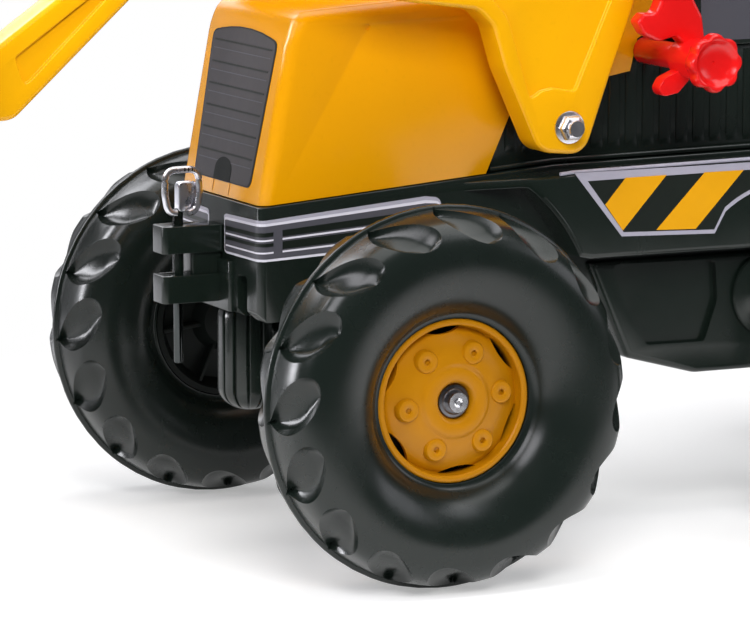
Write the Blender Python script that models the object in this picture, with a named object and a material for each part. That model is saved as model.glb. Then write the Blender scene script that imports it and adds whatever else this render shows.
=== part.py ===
"""Ride-on digger: a child's pedal vehicle with a front loader and a rear digger arm.

Metres, +Z up, the vehicle faces -Y and its left side is +X. Every place below is given from
the ground point under the middle of the front axle; FRONT_AXLE_Y then centres the whole
vehicle on the origin. Each object's own origin lies on the axis that its body turns about.
"""
import math

import bmesh
import bpy
from mathutils import Matrix, Vector

# ---------------------------------------------------------------- driving dimensions
FRONT_AXLE_Y = -0.338        # front axle line in the row frame
GAP = 0.0004                 # clearance between pieces that touch on the real vehicle
RUN = 0.0006                 # radial running clearance of a shaft in its bore

FRONT_WHEEL_R = 0.114
FRONT_TYRE_HALF = 0.0376
FRONT_TRACK_HALF = 0.1672
REAR_WHEEL_R = 0.133
REAR_TYRE_HALF = 0.0475
REAR_TRACK_HALF = 0.1875
WHEELBASE = 0.540
AXLE_ROD_R = 0.006

DECK_FRONT_Z = 0.2169        # top of the chassis at the nose
DECK_BEND = (0.127, 0.2330)  # (y, z) where the deck's slope eases
DECK_REAR_Z = 0.2420         # top of the chassis at the rear
NOSE_Y = -0.071
NOSE_LOW_Z = 0.1475          # underside of the nose, ahead of the axle
TAIL_Y = 0.700
SPINE_HALF = 0.0640          # half width of the nose and of the spine under the hood
SILL_HALF = 0.0910           # half width of the sills beside the rider's feet
SILL_Z = 0.1770              # underside of the sills
BELLY_HALF = 0.0700
BELLY_Z = 0.0970
ARCH_R = 0.1470              # radius of the front wheel arches about the front axle

HOOD_HALF = 0.0630
HOOD_WALL = 0.0040
COWL_HALF = HOOD_HALF - HOOD_WALL - GAP

CRANK_AT = (0.277, 0.145)    # (y, z) of the pedal crank
CRANK_LENGTH = 0.085
CRANK_PLANE_X = 0.1000       # middle of the crank arms
SPROCKET_R = 0.0220
CHAIN_X = -0.0820            # middle plane of the chain

PIN_Y = -0.0969              # the upright coupling pin ahead of the nose
PIN_R = 0.0023

LOADER_PIVOT = (0.1155, 0.2610)
BUCKET_PIVOT = (-0.2600, 0.2985)
ARM_IN_X = 0.0800
ARM_OUT_X = 0.1050
LEVER_AXIS = (0.1893, 0.3010)

STEER_WHEEL_AT = (0.345, 0.475)
STEER_WHEEL_R = 0.100
STEER_TILT = math.radians(30)    # the wheel's axis leans back this far from upright

SLEW_Y = 0.768
BOOM_PIVOT = (0.826, 0.262)
DIPPER_PIVOT = (1.010, 0.490)
SCOOP_PIVOT = (1.105, 0.262)
LINK_OFFSET = (-0.020, 0.046)    # from a pivot of the parallel linkage to its rod

# ---------------------------------------------------------------- finishes
FINISHES = {
    "yellow": ((0.87, 0.40, 0.015), 0.30, 0.0),
    "arm_yellow": ((0.90, 0.48, 0.02), 0.28, 0.0),
    "black": ((0.016, 0.018, 0.017), 0.38, 0.0),
    "tyre_black": ((0.013, 0.014, 0.013), 0.42, 0.0),
    "red": ((0.78, 0.02, 0.015), 0.30, 0.0),
    "steel": ((0.62, 0.62, 0.64), 0.25, 1.0),
    "dark_steel": ((0.05, 0.05, 0.055), 0.35, 1.0),
}


def clear_scene():
    for old in list(bpy.data.objects):
        bpy.data.objects.remove(old, do_unlink=True)


def finish_material(node_name, finish):
    """A Principled BSDF of the node's own, in one of the named finishes."""
    colour, roughness, metallic = FINISHES[finish]
    material = bpy.data.materials.new(node_name)
    material.use_nodes = True
    shader = material.node_tree.nodes["Principled BSDF"]
    shader.inputs["Base Color"].default_value = (*colour, 1.0)
    shader.inputs["Roughness"].default_value = roughness
    shader.inputs["Metallic"].default_value = metallic
    return material


# ---------------------------------------------------------------- shapes
def on_axis(axis, along, first, second):
    """A point from its place along an axis and its two places across it, in cyclic order."""
    if axis == "X":
        return Vector((along, first, second))
    if axis == "Y":
        return Vector((second, along, first))
    return Vector((first, second, along))


def extruded(outline, axis, low, high, bevel=0.0):
    """A closed outline of points across the axis, extruded along it from low to high."""
    shape = bmesh.new()
    face = shape.faces.new([shape.verts.new(on_axis(axis, low, *point)) for point in outline])
    moved = bmesh.ops.extrude_face_region(shape, geom=[face])
    top = [item for item in moved["geom"] if isinstance(item, bmesh.types.BMVert)]
    step = on_axis(axis, high - low, 0.0, 0.0)
    bmesh.ops.translate(shape, verts=top, vec=step)
    bmesh.ops.recalc_face_normals(shape, faces=shape.faces[:])
    if bevel > 0.0:
        sharp = [edge for edge in shape.edges if edge.calc_face_angle(0.0) > math.radians(35)]
        bmesh.ops.bevel(shape, geom=sharp, offset=bevel, segments=1, profile=0.5,
                        affect="EDGES", clamp_overlap=True)
    return shape


def block(low, high, bevel=0.0):
    """A rectangular block between two corners."""
    outline = [(low[1], low[2]), (high[1], low[2]), (high[1], high[2]), (low[1], high[2])]
    return extruded(outline, "X", low[0], high[0], bevel)


def turned(profile, axis="X", centre=(0.0, 0.0, 0.0), steps=32, ring=False):
    """Turn a profile of (place along the axis, radius) points about the axis.

    A profile that starts and ends at radius 0 makes a solid; ring=True closes the profile
    on itself for a tyre or a tube.
    """
    shape = bmesh.new()
    loops = []
    for along, radius in profile:
        if radius <= 0.0:
            loops.append([shape.verts.new(on_axis(axis, along, 0.0, 0.0))])
            continue
        loop = []
        for index in range(steps):
            angle = 2.0 * math.pi * index / steps
            point = on_axis(axis, along, radius * math.cos(angle), radius * math.sin(angle))
            loop.append(shape.verts.new(point))
        loops.append(loop)
    pairs = list(zip(loops, loops[1:]))
    if ring:
        pairs.append((loops[-1], loops[0]))
    for before, after in pairs:
        for index in range(steps):
            following = (index + 1) % steps
            corners = [before[index % len(before)], before[following % len(before)],
                       after[following % len(after)], after[index % len(after)]]
            shape.faces.new(list(dict.fromkeys(corners)))
    bmesh.ops.recalc_face_normals(shape, faces=shape.faces[:])
    bmesh.ops.translate(shape, verts=shape.verts[:], vec=Vector(centre))
    return shape


def rod(start, end, radius, steps=12):
    """A round rod between two points."""
    start = Vector(start)
    run = Vector(end) - start
    shape = turned([(0.0, 0.0), (0.0, radius), (run.length, radius), (run.length, 0.0)],
                   "Z", steps=steps)
    turn = Vector((0.0, 0.0, 1.0)).rotation_difference(run.normalized()).to_matrix().to_4x4()
    bmesh.ops.transform(shape, matrix=Matrix.Translation(start) @ turn, verts=shape.verts[:])
    return shape


def arc(centre, radius, start_deg, end_deg, count):
    """Points on a circle in an outline's own plane, both ends included."""
    points = []
    for index in range(count):
        angle = math.radians(start_deg + (end_deg - start_deg) * index / (count - 1))
        points.append((centre[0] + radius * math.cos(angle),
                       centre[1] + radius * math.sin(angle)))
    return points


# ---------------------------------------------------------------- objects
def make_object(name, shape, pivot):
    """An object whose origin is the pivot, from a shape in vehicle coordinates."""
    origin = Vector(pivot)
    bmesh.ops.translate(shape, verts=shape.verts[:], vec=-origin)
    mesh = bpy.data.meshes.new(name)
    shape.to_mesh(mesh)
    shape.free()
    made = bpy.data.objects.new(name, mesh)
    made.location = origin + Vector((0.0, FRONT_AXLE_Y, 0.0))
    bpy.context.scene.collection.objects.link(made)
    return made


def combine(target, shape, operation, label):
    """Join a shape to an object, or cut it away, with an exact Boolean."""
    guide = make_object(label, shape, (0.0, 0.0, 0.0))
    guide.hide_render = True
    guide.display_type = "WIRE"
    step = target.modifiers.new(label, "BOOLEAN")
    step.operation = operation
    step.solver = "EXACT"
    step.object = guide


def node(name, finish, shape, pivot=(0.0, 0.0, 0.0), add=(), cut=()):
    """One sub-part: a shape, the shapes joined to it and the shapes cut from it."""
    made = make_object(name, shape, pivot)
    made.data.materials.append(finish_material(name, finish))
    made.data.shade_smooth()
    made.data.set_sharp_from_angle(angle=math.radians(32))
    for index, extra in enumerate(add):
        combine(made, extra, "UNION", f"{name}_add_{index}")
    for index, removed in enumerate(cut):
        combine(made, removed, "DIFFERENCE", f"{name}_cut_{index}")
    return made


def cross_pivot(place):
    """The point of a pivot that lies across the vehicle, from its (y, z)."""
    return (0.0, place[0], place[1])


def cross_rod(place, low, high, radius, steps=12):
    """A rod that lies across the vehicle at (y, z)."""
    return rod((low, place[0], place[1]), (high, place[0], place[1]), radius, steps)


def deck_z(y):
    """Height of the chassis top at a place along the vehicle."""
    bend_y, bend_z = DECK_BEND
    if y < bend_y:
        return DECK_FRONT_Z + (bend_z - DECK_FRONT_Z) * (y - NOSE_Y) / (bend_y - NOSE_Y)
    return bend_z + (DECK_REAR_Z - bend_z) * (y - bend_y) / (TAIL_Y - bend_y)


# ---------------------------------------------------------------- chassis
def chassis():
    nose = extruded([(NOSE_Y, NOSE_LOW_Z + 0.005), (NOSE_Y + 0.005, NOSE_LOW_Z),
                     (-0.028, NOSE_LOW_Z), (-0.028, 0.151), (0.160, 0.151), (0.160, 0.165),
                     (TAIL_Y, 0.165), (TAIL_Y, DECK_REAR_Z), DECK_BEND,
                     (NOSE_Y, DECK_FRONT_Z)], "X", -SPINE_HALF, SPINE_HALF)
    step = 0.0025
    flare_y = 0.050
    arch = arc((0.0, FRONT_WHEEL_R), ARCH_R, 43.0, 25.4, 5)
    sill = extruded([(flare_y, 0.2150), (0.092, 0.2160)] + arch +
                    [(0.690, SILL_Z), (0.690, deck_z(0.690) - step),
                     (DECK_BEND[0], DECK_BEND[1] - step), (flare_y, deck_z(flare_y) - step)],
                    "X", -SILL_HALF, SILL_HALF)
    flare = [extruded([(side * (SPINE_HALF + 0.0006), flare_y - 0.01),
                       (side * (SPINE_HALF + 0.0006), flare_y), (side * SILL_HALF, 0.124),
                       (side * (SILL_HALF + 0.02), 0.124), (side * (SILL_HALF + 0.02), flare_y)],
                      "Z", 0.15, 0.26) for side in (1, -1)]
    belly = extruded([(0.1485, 0.172), (0.176, 0.110), (0.225, BELLY_Z), (0.572, BELLY_Z),
                      (0.600, 0.125), (0.600, 0.172)], "X", -BELLY_HALF, BELLY_HALF)
    king_bore = rod((0.0, 0.0, 0.140), (0.0, 0.0, 0.188), 0.008 + RUN, 24)
    crank_bore = cross_rod(CRANK_AT, -0.08, 0.08, 0.006 + RUN)
    axle_bore = cross_rod((WHEELBASE, REAR_WHEEL_R), -0.08, 0.08, AXLE_ROD_R + RUN)
    node("chassis_shell", "black", nose, add=(sill, belly),
         cut=[king_bore, crank_bore, axle_bore] + flare)

    barrel_r = 0.0195
    dome = [(0.0980 - 0.0142 * math.cos(angle), barrel_r * math.sin(angle))
            for angle in [math.radians(18 * index) for index in range(6)]]
    barrel = turned(dome + [(NOSE_LOW_Z - GAP, barrel_r), (NOSE_LOW_Z - GAP, 0.0)], "Z",
                    (0.0, -0.050, 0.0), 24)
    node("nose_block", "black", barrel)


def hood():
    lift = 0.0006
    outer = [(-0.0690, deck_z(-0.0690) + lift), (-0.0505, 0.3182), (-0.0440, 0.3330),
             (0.0600, 0.3400), (0.2210, 0.3560), (0.2170, 0.3320), (0.2150, 0.3252),
             (0.1850, 0.3084), (0.1800, 0.2885), (0.1010, 0.2744),
             (0.0807, deck_z(0.0807) + lift)]
    inner = [(-0.0648, 0.200), (-0.0465, 0.3165), (-0.0410, 0.3290), (0.0600, 0.3360),
             (0.300, 0.3596), (0.300, 0.200)]
    shell = extruded(outer, "X", -HOOD_HALF, HOOD_HALF)
    crown = [edge for edge in shell.edges
             if all(vert.co.z > 0.330 for vert in edge.verts) and
             abs(edge.verts[0].co.x - edge.verts[1].co.x) < 0.001 and
             abs(edge.verts[0].co.y - edge.verts[1].co.y) > 0.05]
    bmesh.ops.bevel(shell, geom=crown, offset=0.012, segments=3, profile=0.5, affect="EDGES",
                    clamp_overlap=True)
    cavity = extruded(inner, "X", -HOOD_HALF + HOOD_WALL, HOOD_HALF - HOOD_WALL)
    crown = [edge for edge in cavity.edges
             if all(vert.co.z > 0.325 for vert in edge.verts) and
             abs(edge.verts[0].co.x - edge.verts[1].co.x) < 0.001 and
             abs(edge.verts[0].co.y - edge.verts[1].co.y) > 0.05]
    bmesh.ops.bevel(cavity, geom=crown, offset=0.010, segments=3, profile=0.5, affect="EDGES",
                    clamp_overlap=True)
    node("hood", "yellow", shell, cut=(cavity,))


def cowl():
    """The black ribbed cowl behind the hood, and the dash that carries the steering column."""
    low = 0.0006
    outline = [(0.060, deck_z(0.060) + low), (DECK_BEND[0], DECK_BEND[1] + low),
               (0.352, deck_z(0.352) + low), (0.352, 0.3015), (0.060, 0.3015)]
    node("engine_cowl", "black", extruded(outline, "X", -COWL_HALF, COWL_HALF),
         cut=(cross_rod(LOADER_PIVOT, -0.08, 0.08, 0.005 + RUN),
              rod((0.0, *LEVER_AXIS), (0.08, *LEVER_AXIS), 0.006 + RUN)))
    dash = extruded([(0.2235, 0.3020), (0.352, 0.3020), (0.356, 0.352), (0.312, 0.405),
                     (0.262, 0.405), (0.2235, 0.356)], "X", -HOOD_HALF, HOOD_HALF, 0.005)
    _, lower, upper = column_points()
    node("dash", "black", dash, cut=(rod(lower, upper, 0.009 + RUN, 24),))


# ---------------------------------------------------------------- front coupling
def coupling():
    web = block((-0.0070, NOSE_Y - 0.0195, 0.1550), (0.0070, NOSE_Y - GAP, 0.2000), 0.001)
    lugs = []
    for low, high in ((0.1844, 0.2010), (0.1540, 0.1708)):
        lugs.append(block((-0.0098, PIN_Y - 0.0135, low), (0.0098, NOSE_Y - 0.001, high), 0.003))
    pin_bore = rod((0.0, PIN_Y, 0.14), (0.0, PIN_Y, 0.21), PIN_R + GAP)
    node("coupling_bracket", "black", web, add=lugs, cut=(pin_bore,))

    pin = rod((0.0, PIN_Y, 0.116), (0.0, PIN_Y, 0.2110), PIN_R)
    head = block((-0.0036, PIN_Y - 0.0009, 0.2089), (0.0036, PIN_Y + 0.0122, 0.2274), 0.0015)
    node("coupling_pin", "steel", pin, (0.0, PIN_Y, 0.116), add=(head,))
    ring_at = (0.0066, PIN_Y + 0.0002, 0.2224)
    ring = turned(arc((0.0, 0.0112), 0.0021, 0, 300, 6), "X", (0.0, 0.0, 0.0), 20, True)
    bmesh.ops.scale(ring, verts=ring.verts[:], vec=(1.0, 1.0, 1.18))
    bmesh.ops.translate(ring, verts=ring.verts[:], vec=ring_at)
    node("coupling_ring", "steel", ring, ring_at)


# ---------------------------------------------------------------- steering
def column_points():
    """The column's direction, its lower end and its upper end under the wheel's hub."""
    direction = Vector((0.0, math.sin(STEER_TILT), math.cos(STEER_TILT)))
    upper = Vector((0.0, *STEER_WHEEL_AT)) - direction * 0.012
    lower = upper - direction * 0.150
    return direction, lower, upper


def steering():
    direction, lower, upper = column_points()
    pivot = (0.0, *STEER_WHEEL_AT)
    node("steering_column", "dark_steel", rod(lower + direction * 0.002, upper, 0.009, 20), pivot)

    turn = Matrix.Translation(Vector(pivot)) @ Matrix.Rotation(-STEER_TILT, 4, "X")
    rim_section = arc((0.0, STEER_WHEEL_R - 0.009), 0.009, 0, 300, 6)
    rim = turned(rim_section, "Z", steps=24, ring=True)
    hub = turned([(-0.0115, 0.0), (-0.0115, 0.022), (0.006, 0.024), (0.010, 0.020), (0.010, 0.0)],
                 "Z", steps=18)
    spokes = []
    for angle in (90, 210, 330):
        reach = Vector((math.cos(math.radians(angle)), math.sin(math.radians(angle)), 0.0))
        spokes.append(rod(reach * 0.015, reach * (STEER_WHEEL_R - 0.010), 0.0075, 8))
    for shape in [rim, hub] + spokes:
        bmesh.ops.transform(shape, matrix=turn, verts=shape.verts[:])
    node("steering_wheel", "black", rim, pivot, add=[hub] + spokes)

    cap = turned([(0.0104, 0.0), (0.0104, 0.017), (0.0130, 0.0165), (0.0150, 0.010),
                  (0.0155, 0.0)], "Z", steps=24)
    bmesh.ops.transform(cap, matrix=turn, verts=cap.verts[:])
    node("steering_wheel_cap", "yellow", cap, pivot)


def axle_carrier():
    """The front axle beam, which turns on its kingpin under the nose."""
    beam = block((-0.118, -0.020, 0.096), (0.118, 0.020, 0.132), 0.004)
    boss = rod((0.0, 0.0, 0.100), (0.0, 0.0, 0.1505), 0.020, 24)
    kingpin = rod((0.0, 0.0, 0.110), (0.0, 0.0, 0.186), 0.008, 24)
    axle_bore = cross_rod((0.0, FRONT_WHEEL_R), -0.13, 0.13, AXLE_ROD_R + GAP)
    node("front_axle_beam", "black", beam, add=(boss, kingpin), cut=(axle_bore,))
    reach = FRONT_TRACK_HALF + 0.0225
    node("front_axle_rod", "steel", cross_rod((0.0, FRONT_WHEEL_R), -reach, reach, AXLE_ROD_R))


# ---------------------------------------------------------------- wheels
def tyre_profile(radius, half, seat):
    """Half shell of a hollow moulded tyre, open towards the hub, as (offset, radius) points."""
    wall = 0.004
    outer = [(0.0, radius), (0.50 * half, 0.972 * radius), (0.84 * half, 0.910 * radius),
             (half, 0.760 * radius), (0.86 * half, 0.600 * radius), (0.43 * half, seat)]
    inner = [(0.43 * half - wall, seat), (half - wall, 0.700 * radius),
             (0.78 * half, 0.905 * radius - wall), (0.0, radius - wall)]
    return outer, inner


def wheel(prefix, side, centre, radius, half, seat):
    """A tyre and its hub. side is +1 on the vehicle's left and -1 on its right."""
    outer, inner = tyre_profile(radius, half, seat)
    loop = outer + inner
    loop += [(-x, r) for x, r in reversed(inner[:-1])]
    loop += [(-x, r) for x, r in reversed(outer[1:])]
    node(f"{prefix}_tyre", "tyre_black", turned(loop, "X", centre, 24, True), centre)

    lip = 0.43 * half
    face = lip - 0.006
    rim = seat - GAP
    bore = AXLE_ROD_R + RUN
    seat_x = face + 0.0045
    profile = [(-lip, 0.020), (face - 0.006, 0.028), (face - 0.006, rim - 0.006),
               (-lip, rim - 0.004), (-lip, rim), (lip, rim), (lip, rim - 0.004),
               (face, rim - 0.0055), (face + 0.0070, 0.030), (face + 0.0085, 0.0210),
               (face + 0.0085, 0.0118), (seat_x, 0.0110), (seat_x, bore), (-lip, bore)]
    profile = [(side * x, r) for x, r in profile]
    node(f"{prefix}_hub", "yellow", turned(profile, "X", centre, 24, True), centre)

    start = side * (seat_x + GAP)
    nut = turned([(start, AXLE_ROD_R + 0.0002), (start, 0.0102), (start + side * 0.002, 0.0102),
                  (start + side * 0.0085, 0.0078), (start + side * 0.0085, AXLE_ROD_R + 0.0002)],
                 "X", centre, 16, True)
    node(f"{prefix}_push_nut", "steel", nut, centre)


def wheels():
    for word, side in (("left", 1), ("right", -1)):
        wheel(f"front_{word}", side, (side * FRONT_TRACK_HALF, 0.0, FRONT_WHEEL_R),
              FRONT_WHEEL_R, FRONT_TYRE_HALF, 0.0490)
        wheel(f"rear_{word}", side, (side * REAR_TRACK_HALF, WHEELBASE, REAR_WHEEL_R),
              REAR_WHEEL_R, REAR_TYRE_HALF, 0.0550)


# ---------------------------------------------------------------- pedal drive
def drive():
    rear_axle_at = (WHEELBASE, REAR_WHEEL_R)
    crank_pivot = cross_pivot(CRANK_AT)
    shaft = cross_rod(CRANK_AT, -CRANK_PLANE_X, CRANK_PLANE_X, 0.006)
    extras = []
    for side in (1, -1):
        tip_z = CRANK_AT[1] - side * CRANK_LENGTH
        plane = side * CRANK_PLANE_X
        arm = arc((CRANK_AT[0], min(CRANK_AT[1], tip_z)), 0.010, 180, 360, 7)
        arm += arc((CRANK_AT[0], max(CRANK_AT[1], tip_z)), 0.010, 0, 180, 7)
        extras.append(extruded(arm, "X", plane - 0.004, plane + 0.004))
        extras.append(cross_rod((CRANK_AT[0], tip_z), plane, plane + side * 0.088, 0.005, 12))
        pedal_at = (CRANK_AT[0], tip_z)
        pedal = block((-0.0375, CRANK_AT[0] - 0.030, tip_z - 0.011),
                      (0.0375, CRANK_AT[0] + 0.030, tip_z + 0.011), 0.004)
        bmesh.ops.translate(pedal, verts=pedal.verts[:], vec=(plane + side * 0.046, 0.0, 0.0))
        word = "left" if side > 0 else "right"
        node(f"pedal_{word}", "black", pedal, (plane + side * 0.046, *pedal_at),
             cut=(cross_rod(pedal_at, plane - side * 0.02, plane + side * 0.14, 0.005 + RUN),))
    node("pedal_crank", "dark_steel", shaft, crank_pivot, add=extras)

    def sprocket(name, place, pivot):
        teeth = 12
        outline = []
        for index in range(teeth * 4):
            angle = 2.0 * math.pi * index / (teeth * 4)
            radius = SPROCKET_R - (0.0 if index % 4 in (0, 1) else 0.0035)
            outline.append((place[0] + radius * math.cos(angle),
                            place[1] + radius * math.sin(angle)))
        node(name, "dark_steel", extruded(outline, "X", CHAIN_X - 0.002, CHAIN_X + 0.002),
             pivot, cut=(cross_rod(place, -0.1, 0.0, 0.006 + 0.0003),))

    sprocket("crank_sprocket", CRANK_AT, crank_pivot)
    sprocket("axle_sprocket", rear_axle_at, cross_pivot(rear_axle_at))

    slope = math.degrees(math.atan2(rear_axle_at[1] - CRANK_AT[1], WHEELBASE - CRANK_AT[0]))

    def loop(radius):
        return (arc(CRANK_AT, radius, 90 + slope, 270 + slope, 13) +
                arc(rear_axle_at, radius, -90 + slope, 90 + slope, 13))

    node("drive_chain", "dark_steel", extruded(loop(0.0268), "X", CHAIN_X - 0.0032,
                                               CHAIN_X + 0.0032),
         cut=(extruded(loop(0.0227), "X", -0.1, 0.0),))
    guard_in = -BELLY_HALF - GAP
    node("chain_guard", "black", extruded(loop(0.0302), "X", guard_in - 0.0232, guard_in),
         cut=(extruded(loop(0.0280), "X", guard_in - 0.0205, 0.0),
              cross_rod(CRANK_AT, -0.12, 0.0, 0.0085), cross_rod(rear_axle_at, -0.12, 0.0, 0.0085)))

    bearing = turned([(0.0, 0.0066), (0.0, 0.0275), (0.004, 0.0275), (0.010, 0.0130),
                      (0.010, 0.0066)], "X", (BELLY_HALF + GAP, *CRANK_AT), 20, True)
    node("crank_bearing", "black", bearing, crank_pivot)

    reach = REAR_TRACK_HALF + 0.0265
    node("rear_axle_rod", "steel", cross_rod(rear_axle_at, -reach, reach, AXLE_ROD_R),
         cross_pivot(rear_axle_at))


# ---------------------------------------------------------------- seat
def seat():
    base = deck_z(0.66) + 0.0008
    side = [(0.455, base), (0.655, base), (0.668, 0.300), (0.690, 0.400), (0.694, 0.480),
            (0.684, 0.494), (0.674, 0.486), (0.662, 0.410), (0.640, 0.325), (0.618, 0.288),
            (0.560, 0.276), (0.500, 0.280), (0.468, 0.290), (0.452, 0.278)]
    node("seat", "black", extruded(side, "X", -0.128, 0.128, 0.006),
         cut=(block((-0.2, 0.40, 0.2), (-0.0915, 0.64, 0.2609)),
              block((0.0915, 0.40, 0.2), (0.2, 0.64, 0.2609))))


# ---------------------------------------------------------------- loader
def loader_arm_outline():
    unit = FRONT_WHEEL_R
    pivot = (LOADER_PIVOT[0] - 0.003, LOADER_PIVOT[1])
    foot = arc(pivot, 0.0160, 215, 360, 9)
    rear = [(1.26 * unit, 2.54 * unit), (1.40 * unit, 2.90 * unit), (1.47 * unit, 3.18 * unit)]
    top = [(1.42 * unit, 3.36 * unit), (1.20 * unit, 3.48 * unit), (0.20 * unit, 3.57 * unit),
           (-0.75 * unit, 3.66 * unit), (-1.02 * unit, 3.64 * unit), (-1.20 * unit, 3.55 * unit)]
    tip = arc(BUCKET_PIVOT, 0.0165, 135, 255, 7)
    under = [(-2.17 * unit, 2.485 * unit), (-2.07 * unit, 2.490 * unit),
             (-1.49 * unit, 3.05 * unit), (-1.14 * unit, 3.36 * unit), (-0.96 * unit, 3.40 * unit),
             (-0.01 * unit, 3.00 * unit), (0.26 * unit, 2.96 * unit), (0.48 * unit, 2.93 * unit),
             (0.57 * unit, 2.84 * unit), (0.64 * unit, 2.61 * unit)]
    return foot + rear + top + tip + under


def loader():
    pivot = cross_pivot(LOADER_PIVOT)
    bucket_pivot = cross_pivot(BUCKET_PIVOT)
    tube_at = (-0.104, 0.4030)
    for word, side in (("left", 1), ("right", -1)):
        low, high = sorted((side * ARM_IN_X, side * ARM_OUT_X))
        arm = extruded(loader_arm_outline(), "X", low, high, 0.002)
        node(f"loader_arm_{word}", "arm_yellow", arm, pivot,
             cut=(cross_rod(LOADER_PIVOT, -0.13, 0.13, 0.005 + RUN),
                  cross_rod(BUCKET_PIVOT, -0.13, 0.13, 0.005 + RUN),
                  cross_rod(tube_at, -0.13, 0.13, 0.0110 + GAP, 20)))
        start = side * (ARM_OUT_X + GAP)
        nut = [(start, 0.0054), (start, 0.0100), (start + side * 0.0016, 0.0100),
               (start + side * 0.0016, 0.0080), (start + side * 0.0080, 0.0080),
               (start + side * 0.0080, 0.0054)]
        node(f"pivot_nut_{word}", "steel", turned(nut, "X", (0.0, *LOADER_PIVOT), 12, True))
    node("loader_pivot_shaft", "steel", cross_rod(LOADER_PIVOT, -0.1165, 0.1165, 0.005))
    node("loader_cross_tube", "arm_yellow", cross_rod(tube_at, -ARM_OUT_X + 0.001,
                                                      ARM_OUT_X - 0.001, 0.0110, 20), pivot)

    def at(y, z):
        """A point of the bucket's side view, from its hinge."""
        turn = math.radians(-18)
        return (BUCKET_PIVOT[0] + y * math.cos(turn) - z * math.sin(turn),
                BUCKET_PIVOT[1] + y * math.sin(turn) + z * math.cos(turn))

    outer = [at(-0.038, 0.045), at(-0.032, 0.020), at(-0.030, -0.050), at(-0.038, -0.080),
             at(-0.060, -0.096), at(-0.180, -0.098), at(-0.183, -0.094)]
    inner = [at(-0.042, 0.060), at(-0.036, 0.020), at(-0.034, -0.049), at(-0.0415, -0.077),
             at(-0.0615, -0.092), at(-0.195, -0.0935)]
    half = 0.185
    shell = extruded(outer + [at(-0.068, 0.043)], "X", -half, half)
    hollow = extruded(inner + [at(-0.20, 0.08)], "X", -half + 0.004, half - 0.004)
    ears = []
    for side in (1, -1):
        ear_x = side * (ARM_IN_X - 0.0045)
        ear = arc(BUCKET_PIVOT, 0.0140, -60, 90, 7)
        ear += [at(-0.0325, 0.030), at(-0.0325, -0.045)]
        ears.append(extruded(ear, "X", ear_x - 0.003, ear_x + 0.003))
    node("loader_bucket", "black", shell, bucket_pivot, add=ears,
         cut=(hollow, cross_rod(BUCKET_PIVOT, -0.13, 0.13, 0.005 + RUN)))
    for word, side in (("left", 1), ("right", -1)):
        start = side * (ARM_IN_X - 0.0079)
        end = side * (ARM_OUT_X - 0.0020)
        pin = cross_rod(BUCKET_PIVOT, min(start, end), max(start, end), 0.005)
        head = turned([(start, 0.0), (start, 0.0085), (start - side * 0.0030, 0.0075),
                       (start - side * 0.0030, 0.0)], "X", (0.0, *BUCKET_PIVOT), 16)
        node(f"bucket_pin_{word}", "steel", pin, bucket_pivot, add=(head,))


# ---------------------------------------------------------------- lock lever and knob
def lock_lever():
    pivot = cross_pivot(LEVER_AXIS)
    y, z = LEVER_AXIS
    low = 0.1150
    shaft = cross_rod(LEVER_AXIS, 0.040, 0.1445, 0.0060)
    sleeve = cross_rod(LEVER_AXIS, HOOD_HALF + 0.001, low - 0.001, 0.0082, 16)
    node("lever_shaft", "red", shaft, pivot, add=(sleeve,))
    hub = cross_rod(LEVER_AXIS, low, low + 0.026, 0.0125, 18)
    hook = extruded([(y - 0.001, z + 0.004), (y - 0.012, z + 0.015), (y - 0.024, z + 0.0125),
                     (y - 0.034, z + 0.017), (y - 0.038, z + 0.024), (y - 0.034, z + 0.028),
                     (y - 0.026, z + 0.029), (y - 0.023, z + 0.036), (y - 0.024, z + 0.085),
                     (y - 0.012, z + 0.150), (y + 0.003, z + 0.150), (y - 0.004, z + 0.085),
                     (y - 0.003, z + 0.040), (y + 0.006, z + 0.026), (y + 0.009, z + 0.004)],
                    "X", low, low + 0.012, 0.002)
    finger = extruded([(y - 0.004, z - 0.004), (y - 0.020, z - 0.012), (y - 0.022, z - 0.020),
                       (y - 0.004, z - 0.018), (y + 0.004, z - 0.006)], "X", low + 0.001, low + 0.011)
    grip = rod((low + 0.006, y - 0.006, z + 0.140), (low + 0.006, y - 0.002, z + 0.185), 0.0130, 16)
    node("lock_lever", "red", hub, pivot, add=(hook, finger, grip),
         cut=(cross_rod(LEVER_AXIS, 0.03, 0.16, 0.006 + GAP),))
    lobes = 8
    outline = []
    for index in range(lobes * 4):
        angle = 2.0 * math.pi * index / (lobes * 4)
        radius = 0.0166 + 0.0015 * math.cos(lobes * angle)
        outline.append((y + radius * math.cos(angle), z + radius * math.sin(angle)))
    start = 0.1450
    knob = extruded(outline, "X", start, start + 0.011)
    dish = turned([(start + 0.006, 0.0), (start + 0.006, 0.0095), (start + 0.012, 0.0125),
                   (start + 0.012, 0.0)], "X", (0.0, y, z), 20)
    node("star_knob", "red", knob, pivot, cut=(dish,))


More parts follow.
